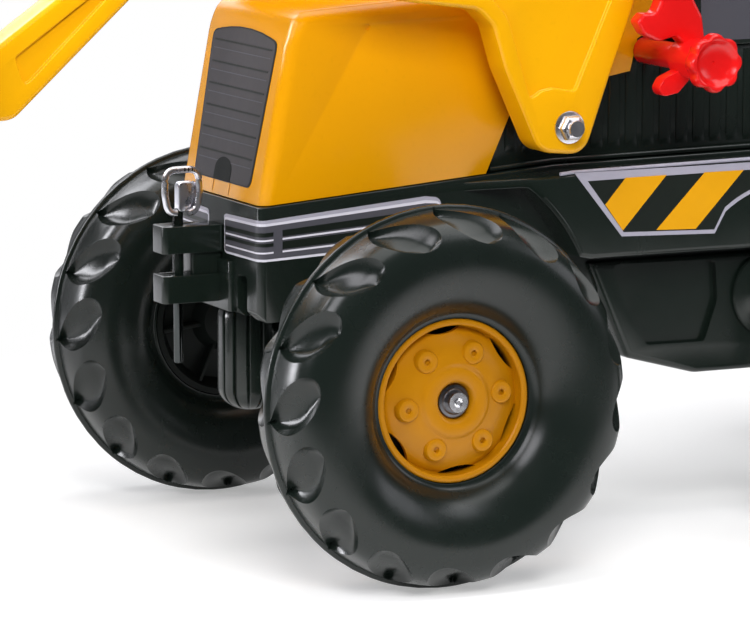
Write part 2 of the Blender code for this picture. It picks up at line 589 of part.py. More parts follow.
# ---------------------------------------------------------------- rear digger
def digger():
    slew = (0.0, SLEW_Y, 0.0)
    plate = block((-0.060, TAIL_Y + GAP, 0.140), (0.060, TAIL_Y + 0.0075, 0.228), 0.002)
    lugs = []
    for low, high in ((0.2080, 0.2230), (0.1480, 0.1630)):
        outline = [(0.034, TAIL_Y + 0.006), (0.019, SLEW_Y)]
        outline += arc((0.0, SLEW_Y), 0.019, 0, 180, 9)[1:-1]
        outline += [(-0.019, SLEW_Y), (-0.034, TAIL_Y + 0.006)]
        lugs.append(extruded(outline, "Z", low, high))
    node("digger_mount", "black", plate, slew, add=lugs,
         cut=(rod((0.0, SLEW_Y, 0.13), (0.0, SLEW_Y, 0.24), 0.007 + GAP, 20),))
    pin = rod((0.0, SLEW_Y, 0.144), (0.0, SLEW_Y, 0.2236), 0.007, 20)
    head = rod((0.0, SLEW_Y, 0.2234), (0.0, SLEW_Y, 0.2280), 0.0125, 20)
    node("slew_pin", "steel", pin, slew, add=(head,))

    barrel = rod((0.0, SLEW_Y, 0.1634), (0.0, SLEW_Y, 0.2076), 0.018, 24)
    web = extruded([(SLEW_Y + 0.008, 0.166), (SLEW_Y + 0.040, 0.180), (0.852, 0.236),
                    (0.852, 0.270)] + arc(BOOM_PIVOT, 0.018, 20, 160, 7) +
                   [(0.806, 0.232), (SLEW_Y + 0.030, 0.205), (SLEW_Y + 0.008, 0.205)],
                   "X", -0.024, 0.024)
    slot = extruded([(0.795, 0.2330), (0.87, 0.2330), (0.87, 0.30), (0.795, 0.30)], "X",
                    -0.0125, 0.0125)
    node("slew_post", "arm_yellow", barrel, slew, add=(web,),
         cut=(rod((0.0, SLEW_Y, 0.15), (0.0, SLEW_Y, 0.22), 0.007 + RUN, 20), slot,
              cross_rod(BOOM_PIVOT, -0.04, 0.04, 0.005 + RUN)))
    boom_pivot = cross_pivot(BOOM_PIVOT)
    node("boom_pin", "steel", cross_rod(BOOM_PIVOT, -0.0440, 0.0440, 0.005), boom_pivot)

    y0, z0 = BOOM_PIVOT
    y1, z1 = DIPPER_PIVOT
    boom = arc(BOOM_PIVOT, 0.0160, 160, 330, 9)
    boom += [(y0 + 0.078, z0 + 0.085), (y1 - 0.030, z1 - 0.052)]
    boom += arc(DIPPER_PIVOT, 0.0150, -30, 120, 7)
    boom += [(y1 - 0.072, z1 - 0.020), (y0 + 0.016, z0 + 0.090)]
    node("digger_boom", "arm_yellow", extruded(boom, "X", -0.0118, 0.0118, 0.002), boom_pivot,
         cut=(cross_rod(BOOM_PIVOT, -0.04, 0.04, 0.005 + RUN),
              cross_rod(DIPPER_PIVOT, -0.04, 0.04, 0.005 + RUN)))

    dipper_pivot = cross_pivot(DIPPER_PIVOT)
    y2, z2 = SCOOP_PIVOT
    tail = (y1 + LINK_OFFSET[0], z1 + LINK_OFFSET[1])
    dipper = arc(SCOOP_PIVOT, 0.0130, 200, 350, 7)
    dipper += [(y2 - 0.022, z2 + 0.110), (y1 + 0.030, z1 + 0.010)]
    dipper += arc(tail, 0.0110, 20, 180, 7)
    dipper += [(y1 - 0.020, z1 - 0.006), (y1 + 0.012, z1 - 0.080)]
    reach = 0.075
    slot = extruded([(y1 - reach, z1 - 0.040), (y1 + 0.0200, z1 - 0.040), (y1 + 0.0200, z1 + 0.022),
                     (y1 - reach, z1 + 0.022)], "X", -0.0123, 0.0123)
    node("digger_dipper", "arm_yellow", extruded(dipper, "X", -0.0205, 0.0205, 0.002),
         dipper_pivot, cut=(slot, cross_rod(DIPPER_PIVOT, -0.04, 0.04, 0.005 + RUN),
                            cross_rod(SCOOP_PIVOT, -0.04, 0.04, 0.005 + RUN),
                            cross_rod(tail, -0.04, 0.04, 0.004 + GAP)))
    node("dipper_pin", "steel", cross_rod(DIPPER_PIVOT, -0.0240, 0.0240, 0.005), dipper_pivot)
    node("tail_pin", "steel", cross_rod(tail, -0.0240, 0.0400, 0.004), dipper_pivot)

    scoop_pivot = cross_pivot(SCOOP_PIVOT)
    outer = [(y2 + 0.020, z2 - 0.014), (y2 + 0.034, z2 - 0.060), (y2 + 0.022, z2 - 0.104),
             (y2 - 0.010, z2 - 0.124), (y2 - 0.052, z2 - 0.120), (y2 - 0.090, z2 - 0.096),
             (y2 - 0.024, z2 - 0.020)]
    inner = [(y2 + 0.016, z2 - 0.018), (y2 + 0.029, z2 - 0.060), (y2 + 0.018, z2 - 0.101),
             (y2 - 0.011, z2 - 0.119), (y2 - 0.051, z2 - 0.115), (y2 - 0.10, z2 - 0.085),
             (y2 - 0.034, z2 - 0.010), (y2 - 0.016, z2 - 0.022)]
    half = 0.055
    shell = extruded(outer, "X", -half, half)
    hollow = extruded(inner, "X", -half + 0.004, half - 0.004)
    ears = []
    for side in (1, -1):
        ear = arc(SCOOP_PIVOT, 0.0125, 0, 180, 7) + [(y2 - 0.014, z2 - 0.026),
                                                     (y2 + 0.021, z2 - 0.022)]
        ears.append(extruded(ear, "X", side * 0.0240 - 0.003, side * 0.0240 + 0.003))
    node("digger_bucket", "black", shell, scoop_pivot, add=ears,
         cut=(hollow, cross_rod(SCOOP_PIVOT, -0.04, 0.04, 0.005 + RUN)))
    node("digger_bucket_pin", "steel", cross_rod(SCOOP_PIVOT, -0.0295, 0.0295, 0.005),
         scoop_pivot)

    link = (y0 + LINK_OFFSET[0], z0 + LINK_OFFSET[1])
    low = 0.0255
    lever = arc(BOOM_PIVOT, 0.0120, 200, 380, 7) + [(link[0] + 0.011, link[1] + 0.004),
                                                    (y0 + 0.016, z0 + 0.150),
                                                    (y0 + 0.004, z0 + 0.150),
                                                    (link[0] - 0.010, link[1])]
    grip_x = low - 0.0037
    grip_r = 0.0088
    grip = rod((grip_x, y0 + 0.0110, z0 + 0.140), (grip_x, y0 + 0.0180, z0 + 0.200), grip_r, 16)
    stud = cross_rod(link, low + 0.003, low + 0.0145, 0.004, 12)
    node("dipper_lever", "red", extruded(lever, "X", low, low + 0.006), boom_pivot,
         add=(grip, stud), cut=(cross_rod(BOOM_PIVOT, 0.0, 0.06, 0.005 + RUN),))
    plane = low + 0.0065
    bar = arc(link, 0.0090, 141, 321, 7) + arc(tail, 0.0090, -39, 141, 7)
    node("dipper_link", "dark_steel", extruded(bar, "X", plane, plane + 0.005),
         (0.0, *link), cut=(cross_rod(link, 0.02, 0.06, 0.004 + RUN),
                            cross_rod(tail, 0.02, 0.06, 0.004 + RUN)))
    boom_lever = arc(BOOM_PIVOT, 0.0120, 200, 380, 7) + [(y0 + 0.006, z0 + 0.060),
                                                         (y0 - 0.016, z0 + 0.150),
                                                         (y0 - 0.028, z0 + 0.150),
                                                         (y0 - 0.012, z0 + 0.060)]
    grip = rod((-grip_x, y0 - 0.0205, z0 + 0.140), (-grip_x, y0 - 0.0290, z0 + 0.200), grip_r, 16)
    node("boom_lever", "red", extruded(boom_lever, "X", -low - 0.006, -low), boom_pivot,
         add=(grip,), cut=(cross_rod(BOOM_PIVOT, -0.06, 0.0, 0.005 + RUN),))


def build():
    clear_scene()
    chassis()
    hood()
    cowl()
    coupling()
    steering()
    axle_carrier()
    wheels()
    drive()
    seat()
    loader()
    lock_lever()
    digger()


build()
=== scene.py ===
"""Looks of the ride-on digger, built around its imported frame.

Shapes are made in vehicle coordinates: metres, +Z up, the vehicle faces -Y, its left side is
+X, and y is measured from the front axle. R is the front wheel's radius.
"""
import math

import bmesh
import bpy
from mathutils import Matrix, Vector


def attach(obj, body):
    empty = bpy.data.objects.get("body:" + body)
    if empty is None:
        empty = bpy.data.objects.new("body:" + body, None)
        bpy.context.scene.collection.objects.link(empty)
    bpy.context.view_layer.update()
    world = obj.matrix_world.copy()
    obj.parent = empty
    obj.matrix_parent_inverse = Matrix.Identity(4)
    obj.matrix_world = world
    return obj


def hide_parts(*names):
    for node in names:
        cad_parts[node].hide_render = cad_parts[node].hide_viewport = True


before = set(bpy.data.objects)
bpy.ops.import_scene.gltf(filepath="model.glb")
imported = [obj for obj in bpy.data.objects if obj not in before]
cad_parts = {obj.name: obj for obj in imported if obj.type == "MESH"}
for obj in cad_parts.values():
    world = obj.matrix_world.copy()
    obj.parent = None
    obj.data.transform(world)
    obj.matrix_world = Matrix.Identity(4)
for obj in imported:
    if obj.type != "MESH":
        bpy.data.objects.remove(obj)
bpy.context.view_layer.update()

# ---------------------------------------------------------------- shared sizes
# A place is a (y, z) pair.
R = 0.114
AXLE_Y = -0.338
WHEELBASE = 0.54
REAR_R = 0.133
DECK_BEND = (0.127, 0.233)
DECK_FRONT = (-0.071, 0.2169)
NOSE_LOW = 0.1475
DECK_REAR = (0.7, 0.242)
NOSE_HALF = 0.064
SILL_HALF = 0.091
ARCH_R = 0.147
SILL_LOW = 0.177
HOOD_HALF = 0.063
PIN_Y = -0.0969
LOADER_PIVOT = (0.1155, 0.261)
BUCKET_PIVOT = (-0.26, 0.2985)
LEVER_AXIS = (0.1893, 0.301)
CRANK_AT = (0.277, 0.145)
CRANK_THROW = 0.085
CRANK_PLANE = 0.1
STEER_WHEEL_AT = (0.345, 0.475)
STEER_TILT = math.radians(30)
SLEW_Y = 0.768
BOOM_PIVOT = (0.826, 0.262)
DIPPER_PIVOT = (1.01, 0.49)
SCOOP_PIVOT = (1.105, 0.262)
LINK_OFFSET = (-0.02, 0.046)
BORE_R = 0.0056
SIDES = (("left", 1), ("right", -1))
FLIP = Matrix.Scale(-1.0, 4, Vector((1.0, 0.0, 0.0)))


# ---------------------------------------------------------------- materials
class Nodes:
    """Shorthand for one material's node tree."""

    def __init__(self, name):
        self.material = bpy.data.materials.new(name)
        self.material.use_nodes = True
        self.tree = self.material.node_tree
        self.shader = self.tree.nodes["Principled BSDF"]
        self.place = self.add("ShaderNodeTexCoord").outputs["Object"]

    def set(self, **values):
        for key, value in values.items():
            self.shader.inputs[key.replace("_", " ")].default_value = value

    def feed(self, start, key):
        self.link(start, self.shader.inputs[key])

    def add(self, kind, **values):
        made = self.tree.nodes.new(kind)
        for key, value in values.items():
            setattr(made, key, value)
        return made

    def link(self, start, end):
        self.tree.links.new(start, end)

    def noise(self, scale, detail=3.0, stretch=(1.0, 1.0, 1.0), roughness=0.55):
        mapping = self.add("ShaderNodeMapping")
        mapping.inputs["Scale"].default_value = stretch
        self.link(self.place, mapping.inputs["Vector"])
        made = self.add("ShaderNodeTexNoise")
        made.inputs["Scale"].default_value = scale
        made.inputs["Detail"].default_value = detail
        made.inputs["Roughness"].default_value = roughness
        self.link(mapping.outputs["Vector"], made.inputs["Vector"])
        return made.outputs["Fac"]

    def spread(self, value, low, high, to_low, to_high):
        made = self.add("ShaderNodeMapRange")
        for key, number in (("From Min", low), ("From Max", high), ("To Min", to_low),
                ("To Max", to_high)):
            made.inputs[key].default_value = number
        self.link(value, made.inputs["Value"])
        return made.outputs["Result"]

    def mix(self, share, first, second):
        made = self.add("ShaderNodeMix", data_type="RGBA")
        self.link(share, made.inputs["Factor"])
        for socket, colour in ((made.inputs["A"], first), (made.inputs["B"], second)):
            if isinstance(colour, tuple):
                socket.default_value = (*colour, 1.0)
            else:
                self.link(colour, socket)
        return made.outputs["Result"]

    def add_up(self, first, second):
        made = self.add("ShaderNodeMath", operation="ADD")
        self.link(first, made.inputs[0])
        self.link(second, made.inputs[1])
        return made.outputs[0]

    def bump(self, height, distance, strength, below=None):
        made = self.add("ShaderNodeBump")
        made.inputs["Distance"].default_value = distance
        made.inputs["Strength"].default_value = strength
        self.link(height, made.inputs["Height"])
        if below is not None:
            self.link(below, made.inputs["Normal"])
        return made.outputs["Normal"]


def tinted(colour, factor):
    """The colour, lighter or darker."""
    return tuple(min(1.0, part * factor) for part in colour)


def moulded(name, colour, roughness, spread=0.06, grain=0.00006, wear=0.0, specular=0.5,
        swirl=0.06):
    """Moulded plastic: slight colour drift, handling marks, fine grain and rubbed edges."""
    n = Nodes(name)
    n.set(Specular_IOR_Level=specular)
    drift = n.spread(n.noise(11.0, 4.0), 0.3, 0.7, 0.0, 1.0)
    base = n.mix(drift, tinted(colour, 1.0 - swirl), tinted(colour, 1.0 + swirl))
    speck = n.spread(n.noise(260.0, 2.0), 0.6, 0.74, 0.0, 0.2)
    base = n.mix(speck, base, tinted(colour, 0.88))
    if wear > 0.0:
        edge = n.add("ShaderNodeNewGeometry").outputs["Pointiness"]
        rubbed = n.spread(edge, 0.53, 0.62, 0.0, wear)
        base = n.mix(rubbed, base, tuple(0.5 * part + 0.1 for part in colour))
    n.feed(base, "Base Color")
    cloudy = n.spread(n.noise(38.0, 4.0), 0.3, 0.7, roughness - spread, roughness + spread)
    scuff = n.spread(n.noise(14.0, 5.0, (1.0, 9.0, 2.5)), 0.62, 0.8, 0.0, 0.04)
    n.feed(n.add_up(cloudy, scuff), "Roughness")
    broad = n.bump(n.noise(16.0, 1.0), 0.0006, 0.06)
    n.feed(n.bump(n.noise(1500.0, 2.0), grain, 0.55, broad), "Normal")
    return n.material


def metal(name, colour, roughness, brushed=(1.0, 1.0, 1.0), grime=0.25):
    """Plated or bare steel: fine drawn lines, cloudy polish and a little grime."""
    n = Nodes(name)
    n.set(Metallic=1.0)
    dirt = n.spread(n.noise(70.0, 5.0), 0.52, 0.75, 0.0, grime)
    n.feed(n.mix(dirt, colour, tinted(colour, 0.35)), "Base Color")
    cloudy = n.spread(n.noise(120.0, 4.0), 0.3, 0.7, roughness * 0.6, roughness * 1.5)
    n.feed(cloudy, "Roughness")
    lines = n.noise(900.0, 2.0, brushed)
    n.feed(n.bump(lines, 0.00004, 0.5), "Normal")
    return n.material


def vinyl(name, colour, roughness):
    """Printed sticker film with a faint orange-peel surface."""
    n = Nodes(name)
    n.set(Specular_IOR_Level=0.3, Coat_Weight=0.08, Coat_Roughness=0.12)
    drift = n.spread(n.noise(30.0, 4.0), 0.3, 0.7, 0.0, 1.0)
    n.feed(n.mix(drift, tinted(colour, 0.96), tinted(colour, 1.03)), "Base Color")
    n.feed(n.spread(n.noise(80.0, 3.0), 0.3, 0.7, roughness - 0.03, roughness + 0.04), "Roughness")
    n.feed(n.bump(n.noise(420.0, 1.0), 0.00004, 0.2), "Normal")
    return n.material


BLACK = moulded("black_plastic", (0.007, 0.012, 0.0092), 0.24, 0.04, wear=0.05, grain=0.00004,
    specular=0.5)
TYRE = moulded("tyre_plastic", (0.006, 0.01, 0.008), 0.26, 0.04, wear=0.04, grain=0.00004,
    specular=0.44)
# Painted shade: a darker, duller black than the black plastic, laid on holes, the grille's notch
# and the wheels' inner halves, where shade falls.
PAINTED_SHADE = moulded("shadow_plastic", (0.004, 0.006, 0.005), 0.5, specular=0.2)
YELLOW = moulded("hood_plastic", (0.87, 0.375, 0.001), 0.22, 0.04, wear=0.03, swirl=0.02,
    specular=0.35)
ARM = moulded("arm_plastic", (0.9, 0.43, 0.0012), 0.2, 0.04, wear=0.03, swirl=0.02, specular=0.35)
HUB = moulded("hub_plastic", (0.45, 0.18, 0.001), 0.34, 0.05, wear=0.03, swirl=0.06, specular=0.25)
RED = moulded("red_plastic", (0.76, 0.008, 0.008), 0.2, 0.04, wear=0.08, swirl=0.04)
CHROME = metal("bright_steel", (0.86, 0.86, 0.89), 0.2, grime=0.12)
RING_STEEL = metal("satin_steel", (0.74, 0.74, 0.78), 0.3, grime=0.1)
PIN_STEEL = metal("blued_steel", (0.06, 0.066, 0.066), 0.14, grime=0.1)
STEEL = metal("dark_steel", (0.16, 0.16, 0.17), 0.3, (1.0, 14.0, 14.0))
SILVER = vinyl("silver_film", (0.4, 0.39, 0.47), 0.38)
WHITE = vinyl("white_film", (0.74, 0.73, 0.82), 0.34)
GREY = vinyl("grey_film", (0.08, 0.08, 0.096), 0.38)
GRILLE = vinyl("grille_film", (0.05, 0.047, 0.052), 0.45)
DARK = vinyl("dark_film", (0.009, 0.013, 0.01), 0.4)
STRIPE = vinyl("yellow_film", (0.8, 0.37, 0.003), 0.36)


# ---------------------------------------------------------------- shape tools
def circle(steps):
    """Evenly spaced angles round a full turn."""
    return [2.0 * math.pi * index / steps for index in range(steps)]


def mm(points, across=0.0, up=0.0):
    """Points, and any corner radius after them, in millimetres from a place in metres."""
    return [(across + point[0] / 1000.0, up + point[1] / 1000.0,
        *[radius / 1000.0 for radius in point[2:]]) for point in points]


def on_axis(axis, along, first, second):
    """A point from its place along an axis and its two places across it, in cyclic order."""
    if axis == "X":
        return Vector((along, first, second))
    if axis == "Y":
        return Vector((second, along, first))
    return Vector((first, second, along))


def bevelled(shape, edges, size, segments=3, clamp=True):
    bmesh.ops.bevel(shape, geom=edges, offset=size, segments=segments, profile=0.5, affect="EDGES",
        clamp_overlap=clamp)
    return shape


def soften(shape, size, segments=3, angle=35.0):
    """Round every edge that is sharper than the angle."""
    sharp = [edge for edge in shape.edges
        if len(edge.link_faces) == 2 and edge.calc_face_angle(0.0) > math.radians(angle)]
    return bevelled(shape, sharp, size, segments)


def edges_where(shape, test, **runs):
    """Edges whose two ends pass a test, and that run less or more than a reach along axes."""
    found = []
    for edge in shape.edges:
        first, second = [vert.co for vert in edge.verts]
        run = {"x": abs(first.x - second.x), "y": abs(first.y - second.y)}
        within = all(run[axis] > limit if limit > 0.0 else run[axis] < -limit
            for axis, limit in runs.items())
        if within and test(first) and test(second):
            found.append(edge)
    return found


def extruded(outline, axis, low, high, bevel=0.0, segments=3):
    """A closed outline of points across the axis, extruded along it from low to high."""
    shape = bmesh.new()
    face = shape.faces.new([shape.verts.new(on_axis(axis, low, *point)) for point in outline])
    moved = bmesh.ops.extrude_face_region(shape, geom=[face])
    top = [item for item in moved["geom"] if isinstance(item, bmesh.types.BMVert)]
    bmesh.ops.translate(shape, verts=top, vec=on_axis(axis, high - low, 0.0, 0.0))
    bmesh.ops.recalc_face_normals(shape, faces=shape.faces[:])
    if bevel > 0.0:
        soften(shape, bevel, segments)
    return shape


def rectangle(left, low, right, high):
    return [(left, low), (right, low), (right, high), (left, high)]


def block(low, high, bevel=0.0, segments=3):
    """A box between two corners."""
    return extruded(rectangle(*low[1:], *high[1:]), "X", low[0], high[0], bevel, segments)


def skinned(rings, closed=False):
    """Join rings of points, all of one length, into a skin; open ends are capped."""
    shape = bmesh.new()
    loops = [[shape.verts.new(point) for point in ring] for ring in rings]
    pairs = list(zip(loops, loops[1:]))
    if closed:
        pairs.append((loops[-1], loops[0]))
    count = len(loops[0])
    for before, after in pairs:
        for index in range(count):
            other = (index + 1) % count
            shape.faces.new([before[index], before[other], after[other], after[index]])
    if not closed:
        shape.faces.new(loops[0])
        shape.faces.new(loops[-1])
    bmesh.ops.recalc_face_normals(shape, faces=shape.faces[:])
    return shape


def turned(profile, axis="X", centre=(0.0, 0.0, 0.0), steps=72, ring=False):
    """Turn (place along the axis, radius) points about the axis."""
    shape = bmesh.new()
    loops = []
    for along, radius in profile:
        if radius <= 0.0:
            loops.append([shape.verts.new(on_axis(axis, along, 0.0, 0.0))])
            continue
        loops.append([shape.verts.new(on_axis(axis, along, radius * math.cos(angle),
            radius * math.sin(angle))) for angle in circle(steps)])
    pairs = list(zip(loops, loops[1:]))
    if ring:
        pairs.append((loops[-1], loops[0]))
    for before, after in pairs:
        for index in range(steps):
            other = (index + 1) % steps
            corners = [before[index % len(before)], before[other % len(before)],
                after[other % len(after)], after[index % len(after)]]
            shape.faces.new(list(dict.fromkeys(corners)))
    bmesh.ops.recalc_face_normals(shape, faces=shape.faces[:])
    bmesh.ops.translate(shape, verts=shape.verts[:], vec=Vector(centre))
    return shape


def placed(shape, matrix):
    """The shape, moved by a matrix; a mirrored one keeps its faces outwards."""
    bmesh.ops.transform(shape, matrix=matrix, verts=shape.verts[:])
    if matrix.determinant() < 0.0:
        bmesh.ops.reverse_faces(shape, faces=shape.faces[:])
    return shape


def on_side(shape, side):
    """A shape made for the left side, mirrored where it is for the right."""
    return placed(shape, FLIP) if side < 0 else shape


def aimed(profile, start, run, steps):
    """A profile turned about the line that starts at a point and runs one way."""
    turn = Vector((0.0, 0.0, 1.0)).rotation_difference(run.normalized()).to_matrix().to_4x4()
    return placed(turned(profile, "Z", steps=steps), Matrix.Translation(start) @ turn)


def rod(start, end, radius, steps=32, tip=0.0):
    """A round rod between two points, with softened ends."""
    start = Vector(start)
    run = Vector(end) - start
    tip = tip or radius * 0.15
    long = run.length
    profile = [(0.0, 0.0), (0.0, radius - tip), (tip * 0.3, radius - tip * 0.3), (tip, radius),
        (long - tip, radius), (long - tip * 0.3, radius - tip * 0.3), (long, radius - tip),
        (long, 0.0)]
    return aimed(profile, start, run, steps)


def cross_rod(place, low, high, radius, steps=32):
    return rod((low, *place), (high, *place), radius, steps)


def bore(place, reach, radius=BORE_R):
    """A cutter for a hole across the vehicle."""
    return cross_rod(place, -reach, reach, radius)


def span(side, near, far):
    """The lower and upper end of a stretch of x on one side."""
    return sorted((side * near, side * far))


def hexagon(start, stations, side=1, place=(0.0, 0.0), flat_from=1.0):
    """A six-sided nut along X from (lift, size) stations; it is round from flat_from up."""
    rings = []
    for lift, size in stations:
        ring = []
        for angle in circle(36):
            corner = 1.0 / math.cos((angle % math.radians(60)) - math.radians(30))
            reach = size if lift > flat_from else size * corner
            ring.append(Vector((start + side * lift, place[0] + reach * math.cos(angle),
                place[1] + reach * math.sin(angle))))
        rings.append(ring)
    return skinned(rings)


def arc(centre, radius, start_deg, end_deg, count):
    """Points along an arc."""
    points = []
    for index in range(count):
        angle = math.radians(start_deg + (end_deg - start_deg) * index / (count - 1))
        points.append((centre[0] + radius * math.cos(angle), centre[1] + radius * math.sin(angle)))
    return points


def rounded(corners, radius, count=6):
    """A closed outline with each corner rounded; a corner may carry its own radius."""
    points = []
    total = len(corners)
    for index, corner in enumerate(corners):
        here = Vector(corner[:2])
        before = Vector(corners[index - 1][:2]) - here
        after = Vector(corners[(index + 1) % total][:2]) - here
        wanted = corner[2] if len(corner) > 2 else radius
        half = before.angle(after) / 2.0
        reach = min(wanted / max(math.tan(half), 0.05), before.length * 0.48, after.length * 0.48)
        start = here + before.normalized() * reach
        end = here + after.normalized() * reach
        if reach < 1e-5:
            points.append(tuple(here))
            continue
        for step in range(count):
            share = step / (count - 1)
            near = start.lerp(here, share)
            far = here.lerp(end, share)
            points.append(tuple(near.lerp(far, share)))
    return points


def swept(path, section, closed=False):
    """Carry a section, in (sideways, up) points, along a path of 3-D points."""
    path = [Vector(point) for point in path]
    rings = []
    total = len(path)
    for index, point in enumerate(path):
        if closed:
            way = path[(index + 1) % total] - path[index - 1]
        else:
            way = path[min(index + 1, total - 1)] - path[max(index - 1, 0)]
        way.normalize()
        side = way.cross(Vector((0.0, 0.0, 1.0)))
        if side.length < 0.05:
            side = way.cross(Vector((1.0, 0.0, 0.0)))
        side.normalize()
        up = side.cross(way)
        rings.append([point + side * a + up * b for a, b in section])
    return skinned(rings, closed)


def round_section(radius, count=16):
    return arc((0.0, 0.0), radius, 0.0, 360.0 * (count - 1) / count, count)


def curve_through(points, count=8):
    """A smooth path through 3-D points."""
    points = [Vector(point) for point in points]
    padded = [points[0] * 2 - points[1]] + points + [points[-1] * 2 - points[-2]]
    path = []
    for index in range(1, len(padded) - 2):
        p0, p1, p2, p3 = padded[index - 1:index + 3]
        for step in range(count):
            t = step / count
            path.append(0.5 * ((2 * p1) + (p2 - p0) * t + (2 * p0 - 5 * p1 + 4 * p2 - p3) * t * t +
                (3 * p1 - p0 - 3 * p2 + p3) * t ** 3))
    path.append(points[-1])
    return path


def combined(shape, others, operation):
    """Exact Booleans with each of the other shapes in turn."""
    def as_object(source):
        mesh = bpy.data.meshes.new("work")
        source.to_mesh(mesh)
        source.free()
        made = bpy.data.objects.new("work", mesh)
        bpy.context.scene.collection.objects.link(made)
        return made
    target = as_object(shape)
    guides = [as_object(other) for other in others]
    for guide in guides:
        step = target.modifiers.new("step", "BOOLEAN")
        step.operation = operation
        step.solver = "EXACT"
        step.object = guide
    result = bmesh.new()
    result.from_object(target, bpy.context.evaluated_depsgraph_get())
    for old in [target] + guides:
        mesh = old.data
        bpy.data.objects.remove(old)
        bpy.data.meshes.remove(mesh)
    bmesh.ops.remove_doubles(result, verts=result.verts[:], dist=0.00002)
    bmesh.ops.dissolve_degenerate(result, edges=result.edges[:], dist=0.00001)
    return result


def union(shape, *others):
    return combined(shape, others, "UNION")


def cut(shape, *others):
    return combined(shape, others, "DIFFERENCE")


def merged(*shapes):
    """Several closed shapes as one mesh."""
    result = bmesh.new()
    for shape in shapes:
        mesh = bpy.data.meshes.new("work")
        shape.to_mesh(mesh)
        shape.free()
        result.from_mesh(mesh)
        bpy.data.meshes.remove(mesh)
    return result


def piece(name, shape, material, *nodes, on="chassis", slot="chassis_black", angle=38.0):
    """A finished piece in the row frame: its material, its body and the nodes it replaces."""
    bmesh.ops.translate(shape, verts=shape.verts[:], vec=(0.0, AXLE_Y, 0.0))
    mesh = bpy.data.meshes.new(name)
    shape.to_mesh(mesh)
    shape.free()
    mesh.materials.append(material)
    mesh.shade_smooth()
    mesh.set_sharp_from_angle(angle=math.radians(angle))
    made = bpy.data.objects.new(name, mesh)
    bpy.context.scene.collection.objects.link(made)
    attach(made, on)
    if nodes:
        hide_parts(*nodes)


def beads(name, material, radius, count, x_at, z_at, stations):
    """A thin raised line along each side."""
    lines = [swept([(side * x_at(y), y, z_at(y)) for y in stations], round_section(radius, count))
        for side in (1, -1)]
    piece(name, merged(*lines), material, angle=60.0)


def deck_z(y):
    """Height of the chassis deck, which is bent behind the hood's front."""
    first, bend, last = DECK_FRONT, DECK_BEND, DECK_REAR
    start, end = (first, bend) if y < bend[0] else (bend, last)
    return start[1] + (end[1] - start[1]) * (y - start[0]) / (end[0] - start[0])


def scaled(points, unit=R):
    """Points, and any corner radius after them, given in a unit."""
    return [tuple([point[0] * unit, point[1] * unit, *[extra * unit for extra in point[2:]]])
        for point in points]


# ---------------------------------------------------------------- wheels
LUGS = 16
LUG_SLANT = math.radians(11.0)
LUG_START = math.radians(3.4)
TYRE_SIDE = [(0.0, 1.0), (0.01, 0.9995), (0.016, 0.995), (0.019, 0.986), (0.022, 0.979),
    (0.03, 0.976), (0.06, 0.973), (0.095, 0.969), (0.13, 0.964), (0.165, 0.957), (0.195, 0.949),
    (0.225, 0.938), (0.25, 0.924), (0.27, 0.908), (0.285, 0.892), (0.296, 0.876), (0.305, 0.86),
    (0.311, 0.846), (0.315, 0.836), (0.32, 0.822), (0.326, 0.79), (0.329, 0.755), (0.327, 0.715),
    (0.318, 0.67), (0.3, 0.62), (0.274, 0.57), (0.243, 0.528), (0.21, 0.497), (0.18, 0.477),
    (0.158, 0.463), (0.147, 0.45), (0.1425, 0.4375), (0.1425, 0.43)]
TYRE_INSIDE = [(0.11, 0.43), (0.11, 0.47), (0.2, 0.545), (0.262, 0.66), (0.262, 0.75), (0.2, 0.825),
    (0.11, 0.85), (0.0, 0.862)]
TYRE_HALF = 0.33
SEAT_SHARE = 0.43
SEAT_BLEND = 0.62
SCOOP_FIRST = 4
SCOOP_LAST = 18
HUB_SINK = 0.006
SPOKES = 6


def scoop_shape(share):
    """Half width, in radians, and depth, as a share of the radius, along one scoop."""
    width = 0.15
    swell = 0.66
    if share < swell:
        half = width * math.sin(0.5 * math.pi * (share / swell) ** 0.9)
    else:
        half = width * math.sqrt(max(0.0, 1.0 - ((share - swell) / (1.0 - swell)) ** 2))
    depth = 0.034 + 0.04 * min(1.0, 1.7 * share) ** 0.9
    if share > 0.7:
        depth *= 1.0 - 0.45 * ((share - 0.7) / 0.3) ** 2
    return half, depth


